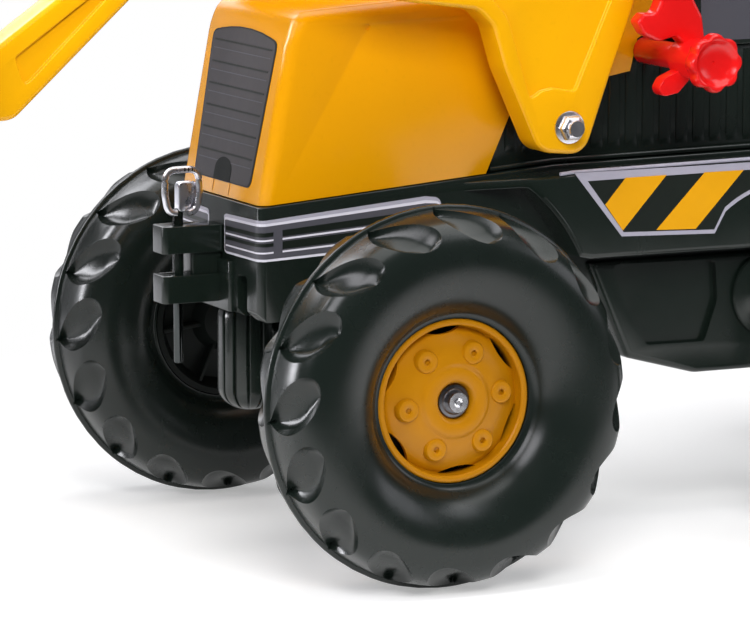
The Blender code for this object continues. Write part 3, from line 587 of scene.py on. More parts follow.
def tyre(radius, half_scale, seat):
    """A hollow tyre: a thin middle ridge and scooped lugs on both shoulders.

    Sizes are shares of the radius; half_scale widens the profile, and seat is the bead's radius.
    """
    inside_steps = [-1.0, -0.985, -0.95, -0.88, -0.75, -0.55, -0.3, 0.0, 0.3, 0.55, 0.75, 0.88,
        0.95, 0.985, 1.0]
    outside_steps = [0.05, 0.2, 0.5, 0.8, 0.95]
    pitch = 2.0 * math.pi / LUGS
    side = []
    lengths = [0.0]
    for first, second in zip(TYRE_SIDE[SCOOP_FIRST:], TYRE_SIDE[SCOOP_FIRST + 1:SCOOP_LAST + 1]):
        lengths.append(lengths[-1] + math.dist(first, second))
    refined = [(*TYRE_SIDE[index], None) for index in range(SCOOP_FIRST)]
    shares = [0.0, 0.04, 0.09, 0.15, 0.22, 0.3, 0.38, 0.46, 0.54, 0.61, 0.67, 0.73, 0.79, 0.85, 0.9,
        0.94, 0.97, 0.988, 0.997]
    for share in shares:
        wanted = share * lengths[-1]
        index = max(i for i in range(len(lengths) - 1) if lengths[i] <= wanted + 1e-9)
        part = (wanted - lengths[index]) / (lengths[index + 1] - lengths[index])
        first = TYRE_SIDE[SCOOP_FIRST + index]
        second = TYRE_SIDE[SCOOP_FIRST + index + 1]
        refined.append((first[0] + (second[0] - first[0]) * part,
            first[1] + (second[1] - first[1]) * part, share))
    refined += [(*point, None) for point in TYRE_SIDE[SCOOP_LAST:]]
    total = len(refined)
    for index, (x, r, share) in enumerate(refined):
        before = refined[max(index - 1, 0)]
        after = refined[min(index + 1, total - 1)]
        way = Vector((after[0] - before[0], after[1] - before[1])).normalized()
        inward = Vector((way.y, -way.x))
        if inward.y > 0.0:
            inward = -inward
        if share is None:
            past = index - (SCOOP_FIRST + len(shares))
            shift = 0.0 if index < SCOOP_FIRST else -LUG_SLANT
            half = 0.01 if index < SCOOP_FIRST else min(0.118, 0.012 + 0.02 * past)
            depth = 0.0
        else:
            half, depth = scoop_shape(share)
            half = max(half, 0.006)
            shift = -LUG_SLANT * share
        ring = []
        for lug in range(LUGS):
            middle = lug * pitch + shift + LUG_START
            for step in inside_steps:
                bowl = 1.0 - abs(step) ** 3.2
                lean = 1.0 + 0.22 * step
                sunk = depth * bowl * lean
                ring.append((x + inward.x * sunk, r + inward.y * sunk, middle + half * step))
            gap = pitch - 2.0 * half
            for step in outside_steps:
                ring.append((x, r, middle + half + gap * step))
        side.append(ring)
    for x, r in TYRE_INSIDE:
        side.append([(x, max(r, seat), angle - LUG_SLANT + LUG_START)
            for angle in circle(len(side[0]))])

    def point(entry, sign):
        x, r, angle = entry
        if r < SEAT_BLEND:
            share = max(0.0, (SEAT_BLEND - r) / (SEAT_BLEND - SEAT_SHARE))
            r = r + (seat - SEAT_SHARE) * share
        return Vector((sign * x * half_scale * radius, radius * r * math.cos(angle),
            radius * r * math.sin(angle)))

    rings = [[point(entry, 1.0) for entry in ring] for ring in side]
    other = [[point(entry, -1.0) for entry in ring] for ring in side]
    return skinned(rings + other[-2:0:-1], closed=True)


def hub(lip, rim, side):
    """Hub disc with a raised lip, six bosses, six slots at the lip and a recessed centre."""
    face = lip - HUB_SINK

    def dome(reach):
        """Height of the disc's crowned face above its rim, at a distance from the axle."""
        share = max(0.0, min(1.0, (rim - 0.0052 - reach) / (rim - 0.0052 - 0.0215)))
        return face - 0.001 + 0.0084 * math.sin(0.5 * math.pi * share ** 0.85)

    crown = [(dome(reach), reach) for reach in [0.0232 + (rim - 0.0052 - 0.0232) * i / 9
        for i in range(10)]]
    under = [(x - 0.0032, reach) for x, reach in reversed(crown)]
    seat_x = face + 0.0044
    profile = [(seat_x - 0.004, 0.0064), (seat_x, 0.0064), (seat_x, 0.0106)]
    profile += mm([(7.6, 11.2), (8.8, 12.2), (9.4, 13.8), (9.4, 19), (9, 20.6), (8, 21.7)], face)
    profile += crown + [(face + 0.001, rim - 0.0043)]
    profile += mm([(-1.2, -4), (-0.3, -3.3), (0, -2.2), (-0.2, -0.9), (-1, 0)], lip, rim)
    profile += [(-lip * 0.2, rim), (-lip * 0.2, rim - 0.003), (face - 0.0042, rim - 0.005)]
    profile += under[1:] + [(seat_x - 0.004, 0.018)]
    disc = turned(profile, "X", steps=144, ring=True)
    cutters = []
    bosses = []
    reach = rim * 0.625
    for index in range(SPOKES):
        angle = math.radians(6.5 + 360.0 / SPOKES * index)
        at = (reach * math.cos(angle), reach * math.sin(angle))
        top = dome(reach) + 0.0022
        boss = mm([(-5, 0), (-5, 7.4), (-2.6, 7.1), (-1, 6.7), (-0.2, 6.1), (0, 5), (-0.1, 2.6),
            (-0.5, 1.8), (-3.4, 1.5), (-3.4, 0)], top)
        bosses.append(turned(boss, "X", (0.0, *at), 32))
        opening = angle + math.radians(30.0)
        outer = rim - 0.0045
        half = math.radians(16.5)
        lens = []
        for step in range(13):
            turn = opening - half + 2.0 * half * step / 12
            lens.append((outer * math.cos(turn), outer * math.sin(turn)))
        chord = outer * math.cos(half)
        for step in range(11, 0, -1):
            share = step / 12 * 2.0 - 1.0
            sag = 0.0026 * (1.0 - share * share)
            along = outer * math.sin(half) * share
            depth = chord - sag
            lens.append((depth * math.cos(opening) - along * math.sin(opening),
                depth * math.sin(opening) + along * math.cos(opening)))
        cutters.append(extruded(lens, "X", -0.004, face + 0.004))
    return on_side(cut(union(disc, *bosses), *cutters), side)


def hub_back(lip, rim, side):
    """The black inner half of the hub, dished and ribbed, that closes the wheel's inner side."""
    profile = [(-lip, 0.0066), (-lip, 0.015), (-lip * 0.86, 0.0162), (-lip * 0.34, 0.02),
        (-lip * 0.26, 0.03), (-lip * 0.3, rim - 0.01), (-lip * 0.75, rim - 0.0052),
        (-lip, rim - 0.004), (-lip, rim - 0.0002), (-lip * 0.22, rim - 0.0002),
        (-lip * 0.1, rim - 0.006), (-lip * 0.06, 0.028), (-lip * 0.06, 0.0066)]
    disc = turned(profile, "X", steps=96, ring=True)
    ribs = []
    for index in range(SPOKES):
        rib = block((-lip * 0.8, -0.0012, 0.015), (-lip * 0.2, 0.0012, rim - 0.006), 0.0005, 2)
        ribs.append(placed(rib, Matrix.Rotation(math.radians(36.5 + 360.0 / SPOKES * index), 4,
            "X")))
    return on_side(merged(disc, *ribs), side)


def push_nut(lip, side):
    """The dark pressed washer, and the hex nut with the threaded rod end, at a hub's centre."""
    face = lip - HUB_SINK + 0.0049
    washer = turned(mm([(0, 0), (0, 9.8), (0.6, 10.1), (1.2, 9.6), (1.6, 8), (2.6, 7), (2.8, 0)],
        face), "X", steps=48)
    nut = hexagon(face + 0.0026, mm([(0, 5.2), (3.4, 5.2), (4, 4.7), (4.1, 3), (5.2, 2.8),
        (5.6, 2.2), (5, 1.2)]), flat_from=0.004)
    return on_side(washer, side), on_side(nut, side)


def wheels():
    sizes = (("front", R, 0.0376, 0.1672, 0.0, 0.43, "front_axle"), ("rear", REAR_R, 0.0475, 0.1875,
        WHEELBASE, 0.415, "rear_drive"))
    for end, radius, half, track, y, seat, holder in sizes:
        for word, side in SIDES:
            wheel = f"{end}_{word}"
            body = "rear_drive" if wheel == "rear_right" else f"{wheel}_wheel"
            move = Matrix.Translation((side * track, y, radius))
            lip = 0.43 * half
            rim = seat * radius - 0.0005
            shape = placed(tyre(radius, half / (TYRE_HALF * radius), seat), move)
            piece(f"{wheel}_tyre_shell", shape, TYRE, f"{wheel}_tyre", on=body, slot="tyre_black",
                angle=50.0)
            piece(f"{wheel}_hub_disc", placed(hub(lip, rim, side), move), HUB, f"{wheel}_hub",
                on=body, slot="hub_yellow", angle=30.0)
            # The inner half is given the painted-shade black, darker than the tyre, to stand for
            # the shade inside the wheel.
            piece(f"{wheel}_hub_back", placed(hub_back(lip, rim, side), move), PAINTED_SHADE, on=body,
                slot="tyre_black", angle=40.0)
            washer, nut = [placed(shape, move) for shape in push_nut(lip, side)]
            piece(f"{wheel}_nut_washer", washer, STEEL, f"{wheel}_push_nut", on=holder,
                slot="zinc_steel", angle=30.0)
            piece(f"{wheel}_hex_nut", nut, CHROME, on=holder, slot="zinc_steel", angle=30.0)


# ---------------------------------------------------------------- hood and grille
def hood_shell():
    lift = 0.0006
    outer = [(-0.069, deck_z(-0.069) + lift), (-0.0505, 0.3182), (-0.044, 0.333), (0.06, 0.34),
        (0.221, 0.356), (0.217, 0.332), (0.215, 0.3252), (0.185, 0.3084), (0.18, 0.2885),
        (0.101, 0.2744), (0.0807, deck_z(0.0807) + lift)]
    inner = mm([(-64.5, 200), (-46.2, 316.5), (-40, 328.8), (60, 335.8), (300, 359.4), (300, 200)])
    shell = extruded(outer, "X", -HOOD_HALF, HOOD_HALF)
    cavity = extruded(inner, "X", -HOOD_HALF + 0.0037, HOOD_HALF - 0.0037)
    for shape, corner in ((shell, 0.0105), (cavity, 0.008)):
        along = edges_where(shape, lambda at: at.z > 0.325, x=-0.001, y=0.05)
        upright = edges_where(shape, lambda at: at.y < -0.04, x=-0.001)
        top_front = edges_where(shape, lambda at: at.y < -0.035 and at.z > 0.31, x=0.05)
        bevelled(shape, along + upright + top_front, corner, 6)
    dimple = rod((HOOD_HALF - 0.0012, 0.001, 0.3225), (HOOD_HALF + 0.01, 0.001, 0.3225), 0.0018, 16)
    shell = cut(cut(shell, cavity), dimple)
    soften(shell, 0.0006, 2, 50.0)
    piece("hood_skin", shell, YELLOW, "hood", slot="hood_yellow", angle=30.0)


class Front:
    """The sloping front face of the hood: places on it are (x, height z, lift off the face)."""
    low = Vector((0.0, -0.069, 0.2178))
    high = Vector((0.0, -0.0505, 0.3182))
    slope = (high - low).normalized()
    out = Vector((0.0, -slope.z, slope.y))

    @classmethod
    def plate(cls, outline, lift, thick=0.0003):
        """A flat plate on the face, from an outline of (x, z) points."""
        shape = extruded(outline, "Z", 0.0, thick)
        for vert in shape.verts:
            x, z, up = vert.co
            share = (z - cls.low.z) / (cls.high.z - cls.low.z)
            vert.co = cls.low.lerp(cls.high, share) + Vector((x, 0.0, 0.0)) + cls.out * (lift + up)
        bmesh.ops.recalc_face_normals(shape, faces=shape.faces[:])
        return shape


def grille():
    """The plate on the hood's front, with its lines, notch and seams."""
    frame_corners = scaled([(-0.375, 1.985, 0.05), (0.375, 1.985, 0.05), (0.425, 2.755, 0.05)])
    top = [(x * R, (2.755 + 0.045 * (1 - (x / 0.425) ** 2)) * R, 0.0) for x in (0.33, 0.2, 0.07,
        -0.07, -0.2, -0.33)]
    left_top = scaled([(-0.425, 2.755, 0.05)])
    outline = rounded(frame_corners + top + left_top, 0.0, 5)
    middle = Vector((0.0, 2.38 * R))
    inner = [((x - middle.x) * 0.972 + middle.x, (z - middle.y) * 0.984 + middle.y)
        for x, z in outline]
    piece("grille_border", Front.plate(outline, 0.0001), DARK)
    piece("grille_plate", Front.plate(inner, 0.0003), GRILLE)
    bars = []
    faint = []
    for index in range(6):
        z = (2.131 + 0.1158 * index) * R
        half = (0.345 + 0.006 * index) * R
        bar = rectangle(-half, z - 0.0005, half, z + 0.0005)
        bars.append(Front.plate(rounded(bar, 0.0004, 3), 0.0005))
        z -= 0.045 * R
        line = rectangle(-half, z - 0.0003, half, z + 0.0003)
        faint.append(Front.plate(line, 0.0005, 0.0002))
    piece("grille_lines", merged(*bars), DARK)
    piece("grille_faint_lines", merged(*faint), GREY)
    half = 0.108 * R
    notch = [(-half, 1.987 * R), (half, 1.987 * R), (half, 2.045 * R)]
    notch += [(x, 2.045 * R + (z - 2.045 * R) * 0.62) for x, z in arc((0.0, 2.045 * R), half, 8,
        172, 13)] + [(-half, 2.045 * R)]
    # The notch is a flat plate in the painted-shade black: painted shade standing for a recess.
    piece("grille_notch", Front.plate(notch, 0.0005), PAINTED_SHADE)
    seams = [Front.plate(rectangle(x - 0.0004, 0.2192, x + 0.0004, 1.984 * R), 0.00005, 0.00015)
        for x in (-half, half)]
    piece("hood_front_seams", merged(*seams), HUB, slot="hood_yellow")


# ---------------------------------------------------------------- chassis
def arch_z(y):
    """Underside of the sill behind the front wheel."""
    rise = math.sqrt(max(0.0, ARCH_R * ARCH_R - y * y))
    return max(SILL_LOW, R + rise)


def sill_half(y):
    """Half width over the sills, which swell out smoothly behind the front wheels."""
    share = max(0.0, min(1.0, (y - 0.046) / 0.08))
    inner = NOSE_HALF - 0.004
    return inner + (SILL_HALF - inner) * share * share * (3.0 - 2.0 * share)


def chassis():
    """Nose, sills, belly, their pockets, and the beads and ribs on them."""
    nose = extruded([(DECK_FRONT[0], NOSE_LOW + 0.005), (DECK_FRONT[0] + 0.005, NOSE_LOW),
        (-0.028, NOSE_LOW), (-0.028, 0.151), (0.16, 0.151), (0.16, 0.165), (0.698, 0.165),
        (0.698, deck_z(0.698)), DECK_BEND, DECK_FRONT], "X", -NOSE_HALF, NOSE_HALF)
    upright = edges_where(nose, lambda at: at.y < DECK_FRONT[0] + 0.001, x=-0.001)
    bevelled(nose, upright, 0.005, 6, clamp=False)
    soften(nose, 0.0016, 3)
    stations = [0.052 + 0.004 * index for index in range(21)] + [0.14, 0.16, 0.2, 0.3, 0.4, 0.5,
        0.6, 0.66, 0.684, 0.6885]
    rings = []
    for y in stations:
        half = sill_half(y)
        if y > 0.67:
            half -= 0.004 * ((y - 0.67) / 0.0185) ** 2
        high = deck_z(y) - 0.0025
        low = min(arch_z(y), high - 0.006)
        corners = [(half, low), (half, high), (-half, high), (-half, low)]
        section = rounded(corners, min(0.0035, (high - low) * 0.4), 5)
        rings.append([Vector((x, y, z)) for x, z in section])
    sill = skinned(rings)
    belly = extruded(rounded(mm([(148.5, 172), (176, 110, 6), (225, 97, 20), (572, 97, 12),
        (600, 125, 12), (600, 172)]), 0.0), "X", -0.07, 0.07, 0.0045, 4)
    body = union(nose, sill, belly)
    pockets = []
    for side in (1, -1):
        recess = rounded(scaled([(1.44, 1.488), (1.617, 1.12), (1.66, 1.03), (2.024, 1.026),
            (2.102, 1.254), (2.086, 1.477)]), 0.004)
        low, high = span(side, 0.0655, 0.08)
        pockets.append(extruded(recess, "X", low, high))
        later = mm([(345, 165), (352, 112), (548, 112), (566, 130), (566, 165)])
        pockets.append(extruded(rounded(later, 0.006), "X", low, high))
        start, end = span(side, 0.031, 0.0455)
        pockets.append(block((start, -0.09, 0.138), (end, -0.055, 0.1735), 0.003, 3))
    body = cut(body, *pockets)
    piece("chassis_body", body, BLACK, "chassis_shell", angle=30.0)

    front = DECK_FRONT[0]
    pad = extruded(rounded(mm([(-25.5, 2), (25.5, 2), (25.5, -3, 4.5), (-25.5, -3, 4.5)], 0.0,
        front), 0.0005, 7), "Z", NOSE_LOW + 0.002, 0.18)
    piece("nose_pad", soften(pad, 0.0016, 3, 50.0), BLACK)

    beads("arch_lips", BLACK, 0.0013, 8, lambda y: sill_half(y) + 0.0002,
        lambda y: arch_z(y) + 0.0028, [0.108 + 0.003 * index for index in range(9)])
    beads("sill_edge_beads", SILVER, 0.0012, 8, lambda y: SILL_HALF - 0.0016,
        lambda y: deck_z(y) - 0.0018, (0.118, 0.127, 0.2, 0.3, 0.4, 0.5, 0.6, 0.68))

    treads = []
    for side in (1, -1):
        for index in range(9):
            y = 0.375 + 0.008 * index
            low, high = span(side, 0.066, 0.086)
            base = deck_z(y)
            treads.append(block((low, y, base - 0.0035), (high, y + 0.003, base - 0.001), 0.0006,
                2))
    piece("foot_ribs", merged(*treads), BLACK)


def nose_block():
    """The grooved barrel under the nose, ahead of the axle beam, with a domed lower end."""
    radius = 0.0194
    pitch = math.radians(26.0)
    outline = []
    for rib in range(-7, 7):
        start = math.radians(-90.0) + pitch * (rib + 0.5)
        if abs(start + 0.5 * pitch + math.pi / 2) > math.radians(118.0):
            continue
        for share, sunk in ((0.0, 0.0026), (0.05, 0.0024), (0.09, 0.0007), (0.16, 0.0001),
                (0.5, 0.0), (0.84, 0.0001), (0.91, 0.0007), (0.95, 0.0024)):
            outline.append((start + pitch * share, radius - sunk))
    stations = [(0.098 - 0.0141 * math.cos(math.radians(9.0 * step)),
        math.sin(math.radians(9.0 * step))) for step in range(1, 11)]
    stations += [(0.12, 1.0), (0.1425, 1.0), (0.146, 0.97), (0.1471, 0.93)]
    rings = []
    for z, share in stations:
        rings.append([Vector((share * reach * math.cos(turn),
            -0.05 + share * reach * math.sin(turn), z)) for turn, reach in outline])
    piece("nose_rib_barrel", skinned(rings), BLACK, "nose_block", angle=26.0)


# ---------------------------------------------------------------- decals
def side_plate(outline, x, thick, side):
    """A thin plate on one side of the vehicle."""
    low, high = sorted((side * x, side * (x + thick)))
    return extruded(outline, "X", low, high)


def hazard_decals():
    arc_at = (2.43, 1.27)
    reach = 0.63
    for word, side in SIDES:
        sweep = arc(arc_at, reach, 128.0, 96.0, 9)
        outer = scaled([(1.114, 2.024), (1.403, 1.667), (1.976, 1.65)] + sweep + [(2.36, 1.9),
            (2.95, 1.9), (3.1, 2.03)])
        sweep = arc(arc_at, reach + 0.022, 127.0, 96.0, 9)
        inner = scaled([(1.193, 1.978), (1.414, 1.69), (1.972, 1.672)] + sweep + [(2.38, 1.925),
            (2.92, 1.925), (3.02, 1.995)])
        plates = {"border": (outer, SILVER, 0.0002), "field": (inner, DARK, 0.00032)}
        for part, (outline, material, thick) in plates.items():
            piece(f"hazard_{part}_{word}", side_plate(outline, SILL_HALF - 0.0001, thick + 0.0001,
                side), material)
        stripes = []
        for outline in ([(1.423, 1.984), (1.3, 1.845), (1.408, 1.699), (1.673, 1.986)],
                [(1.909, 1.988), (1.613, 1.69), (1.856, 1.682), (2.151, 1.988)],
                [(2.395, 1.99), (2.345, 1.935), (2.58, 1.935), (2.635, 1.99)],
                [(2.88, 1.992), (2.83, 1.937), (2.93, 1.937), (2.99, 1.992)]):
            stripes.append(side_plate(scaled(outline), SILL_HALF, 0.00045, side))
        piece(f"hazard_stripes_{word}", merged(*stripes), STRIPE)


def bumper_decals():
    """The banded sticker that wraps from the nose front round each corner to the side."""
    corner = 0.0051
    for word, side in SIDES:
        face = DECK_FRONT[0] - 0.00015
        edge = NOSE_HALF + 0.00015
        turn = arc((edge - corner, face + corner), corner, -90.0, 0.0, 7)
        plan = [(x, face) for x in (0.012, 0.0132, 0.015, 0.025, 0.036, 0.048)] + turn
        side_start = face + corner
        plan += [(edge, side_start + reach) for reach in (0.004, 0.006, 0.008, 0.01, 0.02, 0.035,
            0.05, 0.07, 0.09, 0.105, 0.112, 0.1133, 0.1147, 0.1157)]

        def heights(x, y):
            """Bottom and top of the band at a place round the corner."""
            if y < -0.067:
                share = (edge - x) / (edge - 0.012)
                inset = 0.0016 * max(0.0, (0.015 - x) / 0.003) ** 2
                return 0.1845 - 0.0006 * share + inset, 0.2094 - 0.0014 * share - inset
            share = (y + 0.067) / 0.122
            low, high = 0.1845 + 0.0053 * share, 0.2094 + 0.0104 * share
            tip = max(0.0, (y - side_start - 0.105) / 0.0107)
            inset = 0.006 * (1.0 - math.sqrt(max(0.0, 1.0 - tip * tip)))
            return low + inset, high - inset

        def band(low_share, high_share, thick, start=0, stop=None):
            rings = []
            pts = plan[start:stop]
            for index, (x, y) in enumerate(pts):
                low, high = heights(x, y)
                before = Vector(pts[max(index - 1, 0)])
                after = Vector(pts[min(index + 1, len(pts) - 1)])
                way = (after - before).normalized()
                out = Vector((way.y, -way.x, 0.0)) * thick
                z0 = low + (high - low) * low_share
                z1 = low + (high - low) * high_share
                base = Vector((x, y, 0.0)) - out.normalized() * 0.0002
                rings.append([base + Vector((0, 0, z0)), base + Vector((0, 0, z1)),
                    base + out + Vector((0, 0, z1)), base + out + Vector((0, 0, z0))])
            return on_side(skinned(rings), side)

        last = len(plan)
        side_from = 6 + len(turn) + 2
        near = side_from - 1
        piece(f"bumper_silver_{word}", band(0.0, 1.0, 0.0003), WHITE)
        piece(f"bumper_field_{word}", band(0.06, 0.855, 0.0005, 1, last - 1), GREY)
        piece(f"bumper_rail_{word}", band(0.925, 1.0, 0.0005, 0, last), SILVER)
        ahead, beside = (2, near), (side_from + 1, last - 4)
        for part, material, thick, bands in (("slots", DARK, 0.0007, ((0.6, 0.7, ahead),
                (0.36, 0.44, ahead), (0.57, 0.72, beside), (0.27, 0.45, beside))),
                ("lines", WHITE, 0.0008, ((0.49, 0.53, ahead), (0.19, 0.23, ahead),
                (0.49, 0.53, beside), (0.19, 0.23, beside)))):
            shapes = [band(low, high, thick, *run) for low, high, run in bands]
            piece(f"bumper_{part}_{word}", merged(*shapes), material)


# ---------------------------------------------------------------- cowl and dash
def cowl():
    """The ribbed engine cowl and the dash behind it."""
    half = HOOD_HALF - 0.0044
    low = 0.0006
    outline = [(0.06, deck_z(0.06) + low), (DECK_BEND[0], DECK_BEND[1] + low),
        (0.352, deck_z(0.352) + low), (0.352, 0.3015), (0.06, 0.3015)]
    core = extruded(outline, "X", -half + 0.0012, half - 0.0012, 0.001, 2)
    ribs = []
    for side in (1, -1):
        for index in range(22):
            y = 0.1 + 0.01197 * index
            top = 0.2985 if y > 0.106 else 0.27
            x = side * (half - 0.0012)
            stations = ((0.2415, 0.1), (0.2435, 0.6), (0.2465, 1.0), (0.28, 1.0),
                (top - 0.006, 1.0), (top - 0.003, 0.7), (top, 0.15))
            rings = []
            for z, size in stations:
                section = ((-0.0006, -0.0042), (0.0005 * size, -0.004), (0.0012 * size, -0.003),
                    (0.0012 * size, 0.003), (0.0005 * size, 0.004), (-0.0006, 0.0042))
                rings.append([Vector((x + side * a, y + b, z)) for a, b in section])
            ribs.append(skinned(rings))
    piece("cowl_core", core, BLACK, "engine_cowl", angle=30.0)
    piece("cowl_ribs", merged(*ribs), BLACK, angle=32.0)
    beads("cowl_foot_beads", BLACK, 0.0016, 10, lambda y: half + 0.0004,
        lambda y: deck_z(y) + 0.0022, (0.085, 0.127, 0.2, 0.3, 0.35))

    side_view = rounded(mm([(223.5, 302), (352, 302), (356, 352, 12), (312, 405, 14),
        (262, 405, 12), (223.5, 356, 8)]), 0.001)
    shell = extruded(side_view, "X", -HOOD_HALF, HOOD_HALF, 0.004, 4)
    _, lower, upper = column_points()
    shell = cut(shell, rod(lower, upper, 0.0098, 32))
    piece("dash_shell", shell, BLACK, "dash", angle=30.0)
    panels = []
    lines = []
    for side in (1, -1):
        outline = rounded(mm([(230, 305), (348, 305), (351.5, 350), (309, 398), (265.5, 398),
            (229, 352)]), 0.006)
        panels.append(side_plate(outline, HOOD_HALF - 0.0001, 0.0004, side))
        path = [(side * (HOOD_HALF + 0.0002), y, z) for y, z in ((0.2222, 0.331), (0.2248, 0.354),
            (0.2632, 0.403))]
        lines.append(swept(path, round_section(0.001, 8)))
    piece("dash_side_panels", merged(*panels), GREY)
    piece("dash_edge_lines", merged(*lines), SILVER, angle=60.0)


# ---------------------------------------------------------------- front coupling
def coupling():
    """The front lugs, and the pin with its head and pull ring."""
    front = DECK_FRONT[0]
    web = block((-0.007, front - 0.0195, 0.156), (0.007, front - 0.0002, 0.1995), 0.0012, 3)
    lugs = []
    for low, high in ((0.1844, 0.201), (0.154, 0.1708)):
        plan = rounded([(-0.0098, front - 0.0005), (0.0098, front - 0.0005),
            (0.0098, PIN_Y - 0.0135, 0.0042), (-0.0098, PIN_Y - 0.0135, 0.0042)], 0.0006, 7)
        lugs.append(extruded(plan, "Z", low, high, 0.0028, 4))
    lugs = [cut(lug, rod((0.0, PIN_Y, 0.14), (0.0, PIN_Y, 0.21), 0.0033, 24)) for lug in lugs]
    piece("coupling_lugs", merged(web, *lugs), BLACK, "coupling_bracket", angle=30.0)

    shank = rod((0.0, PIN_Y, 0.116), (0.0, PIN_Y, 0.211), 0.0029, 24, 0.0012)
    piece("coupling_pin_shank", shank, PIN_STEEL, "coupling_pin", on="coupling", slot="dark_steel",
        angle=40.0)
    near, far = PIN_Y - 0.0008, PIN_Y + 0.0121
    outline = rounded([(near, 0.209), (far, 0.209), (far, 0.2273, 0.0035), (near, 0.2273, 0.0035)],
        0.0022, 6)
    head = extruded(outline, "X", -0.0036, 0.0036, 0.001, 3)
    piece("coupling_pin_head", head, RING_STEEL, on="coupling", slot="zinc_steel", angle=32.0)

    centre = Vector((0.0066, PIN_Y + 0.0002, 0.2224))
    loop = rounded(mm([(-9.2, -13.4, 7), (9.2, -13.4, 7), (11.2, -2, 20), (11, 13, 8.5),
        (-11, 13, 8.5), (-11.2, -2, 20)]), 0.008, 9)
    start = next(i for i, p in enumerate(loop) if p[1] < -0.01 and p[0] > 0.0)
    ordered = loop[start:] + loop[:start]
    path = [centre + Vector((0.0, a, b)) for a, b in ordered]
    ring = swept(curve_through(path, 2), round_section(0.0021, 24))
    # The ring's three holes are dark blocks in the painted-shade black: painted shade standing for
    # the holes.
    slots = []
    for shift in (0.0012, 0.0036, 0.006):
        slots.append(block((centre.x + 0.0012, centre.y + shift - 0.0005, centre.z + 0.012),
            (centre.x + 0.0023, centre.y + shift + 0.0005, centre.z + 0.0142), 0.0003, 2))
    piece("coupling_pull_ring", ring, RING_STEEL, "coupling_ring", on="coupling", slot="zinc_steel",
        angle=60.0)
    piece("pull_ring_slots", merged(*slots), PAINTED_SHADE, on="coupling", slot="dark_steel")


# ---------------------------------------------------------------- steering
def column_points():
    """The steering column's way, its lower end and its upper end."""
    direction = Vector((0.0, math.sin(STEER_TILT), math.cos(STEER_TILT)))
    upper = Vector((0.0, *STEER_WHEEL_AT)) - direction * 0.012
    return direction, upper - direction * 0.15, upper


def steering():
    """The steering tube, and the wheel with finger grooves at its sides and its cap."""
    direction, lower, upper = column_points()
    column = rod(lower + direction * 0.002, upper, 0.009, 40)
    collar = rod(upper - direction * 0.016, upper - direction * 0.002, 0.0125, 40)
    piece("steering_tube", union(column, collar), STEEL, "steering_column", on="steering",
        slot="dark_steel", angle=40.0)
    turn = Matrix.Translation((0.0, *STEER_WHEEL_AT)) @ Matrix.Rotation(-STEER_TILT, 4, "X")
    rim_r = 0.091
    section = [(0.009 * math.cos(a) * (1.0 if math.sin(a) > 0 else 0.96), 0.0086 * math.sin(a))
        for a in circle(20)]
    rings = []
    for angle in circle(144):
        groove = 0.027 if math.cos(angle) ** 2 > 0.25 else 0.0
        shrink = 1.0 - groove * (1.0 - math.cos(angle * 24.0))
        rings.append([Vector(((rim_r + a * shrink) * math.cos(angle),
            (rim_r + a * shrink) * math.sin(angle), b * shrink)) for a, b in section])
    rim = skinned(rings, closed=True)
    hub_disc = turned(mm([(-11.5, 0), (-11.5, 19), (-10, 21.5), (4, 24), (8, 22.5), (9.5, 19),
        (10, 0)]), "Z", steps=48)
    parts = [hub_disc]
    oval = [(math.cos(a), math.sin(a)) for a in circle(16)]
    for degrees in (90.0, 210.0, 330.0):
        angle = math.radians(degrees)
        reach = Vector((math.cos(angle), math.sin(angle), 0.0))
        side = Vector((-reach.y, reach.x, 0.0))
        rings = []
        for share in [i / 10 for i in range(11)]:
            dist = 0.014 + (rim_r - 0.014) * share
            wide = 0.0125 - 0.0045 * math.sin(math.pi * share)
            drop = -0.002 * (1 - share)
            rings.append([reach * dist + side * (wide * c) + Vector((0, 0, 0.005 * s + drop))
                for c, s in oval])
        parts.append(skinned(rings))
    piece("steering_wheel_rim", placed(union(rim, *parts), turn), BLACK, "steering_wheel",
        on="steering", angle=45.0)
    cap = turned(mm([(10.4, 0), (10.4, 16.8), (12.2, 17), (13.4, 16), (14.6, 12.5), (15.3, 6.5),
        (15.5, 0)]), "Z", steps=48)
    piece("steering_wheel_badge", placed(cap, turn), YELLOW, "steering_wheel_cap", on="steering",
        slot="hood_yellow", angle=40.0)


def front_axle():
    beam = extruded(rounded(mm([(-118, 96, 4), (118, 96, 4), (118, 132, 4), (45, 132, 10),
        (30, 126.5, 10), (-30, 126.5, 10), (-45, 132, 10), (-118, 132, 4)]), 0.004), "Y", -0.02,
        0.02)
    for vert in beam.verts:
        vert.co = Vector((vert.co.z, vert.co.y, vert.co.x))
    bmesh.ops.recalc_face_normals(beam, faces=beam.faces[:])
    soften(beam, 0.0025, 3, 40.0)
    boss = rod((0.0, 0.0, 0.1), (0.0, 0.0, 0.1505), 0.0198, 48, 0.002)
    pin = rod((0.0, 0.0, 0.11), (0.0, 0.0, 0.186), 0.0079, 32)
    pockets = []
    for side in (1, -1):
        for front in (1, -1):
            low, high = span(side, 0.036, 0.106)
            start, end = span(front, 0.0165, 0.03)
            pockets.append(block((low, start, 0.104), (high, end, 0.124), 0.002, 2))
    shape = cut(cut(union(beam, boss, pin), *pockets), bore((0.0, R), 0.13, 0.0065))
    piece("front_axle_casting", shape, BLACK, "front_axle_beam", on="front_axle", angle=30.0)


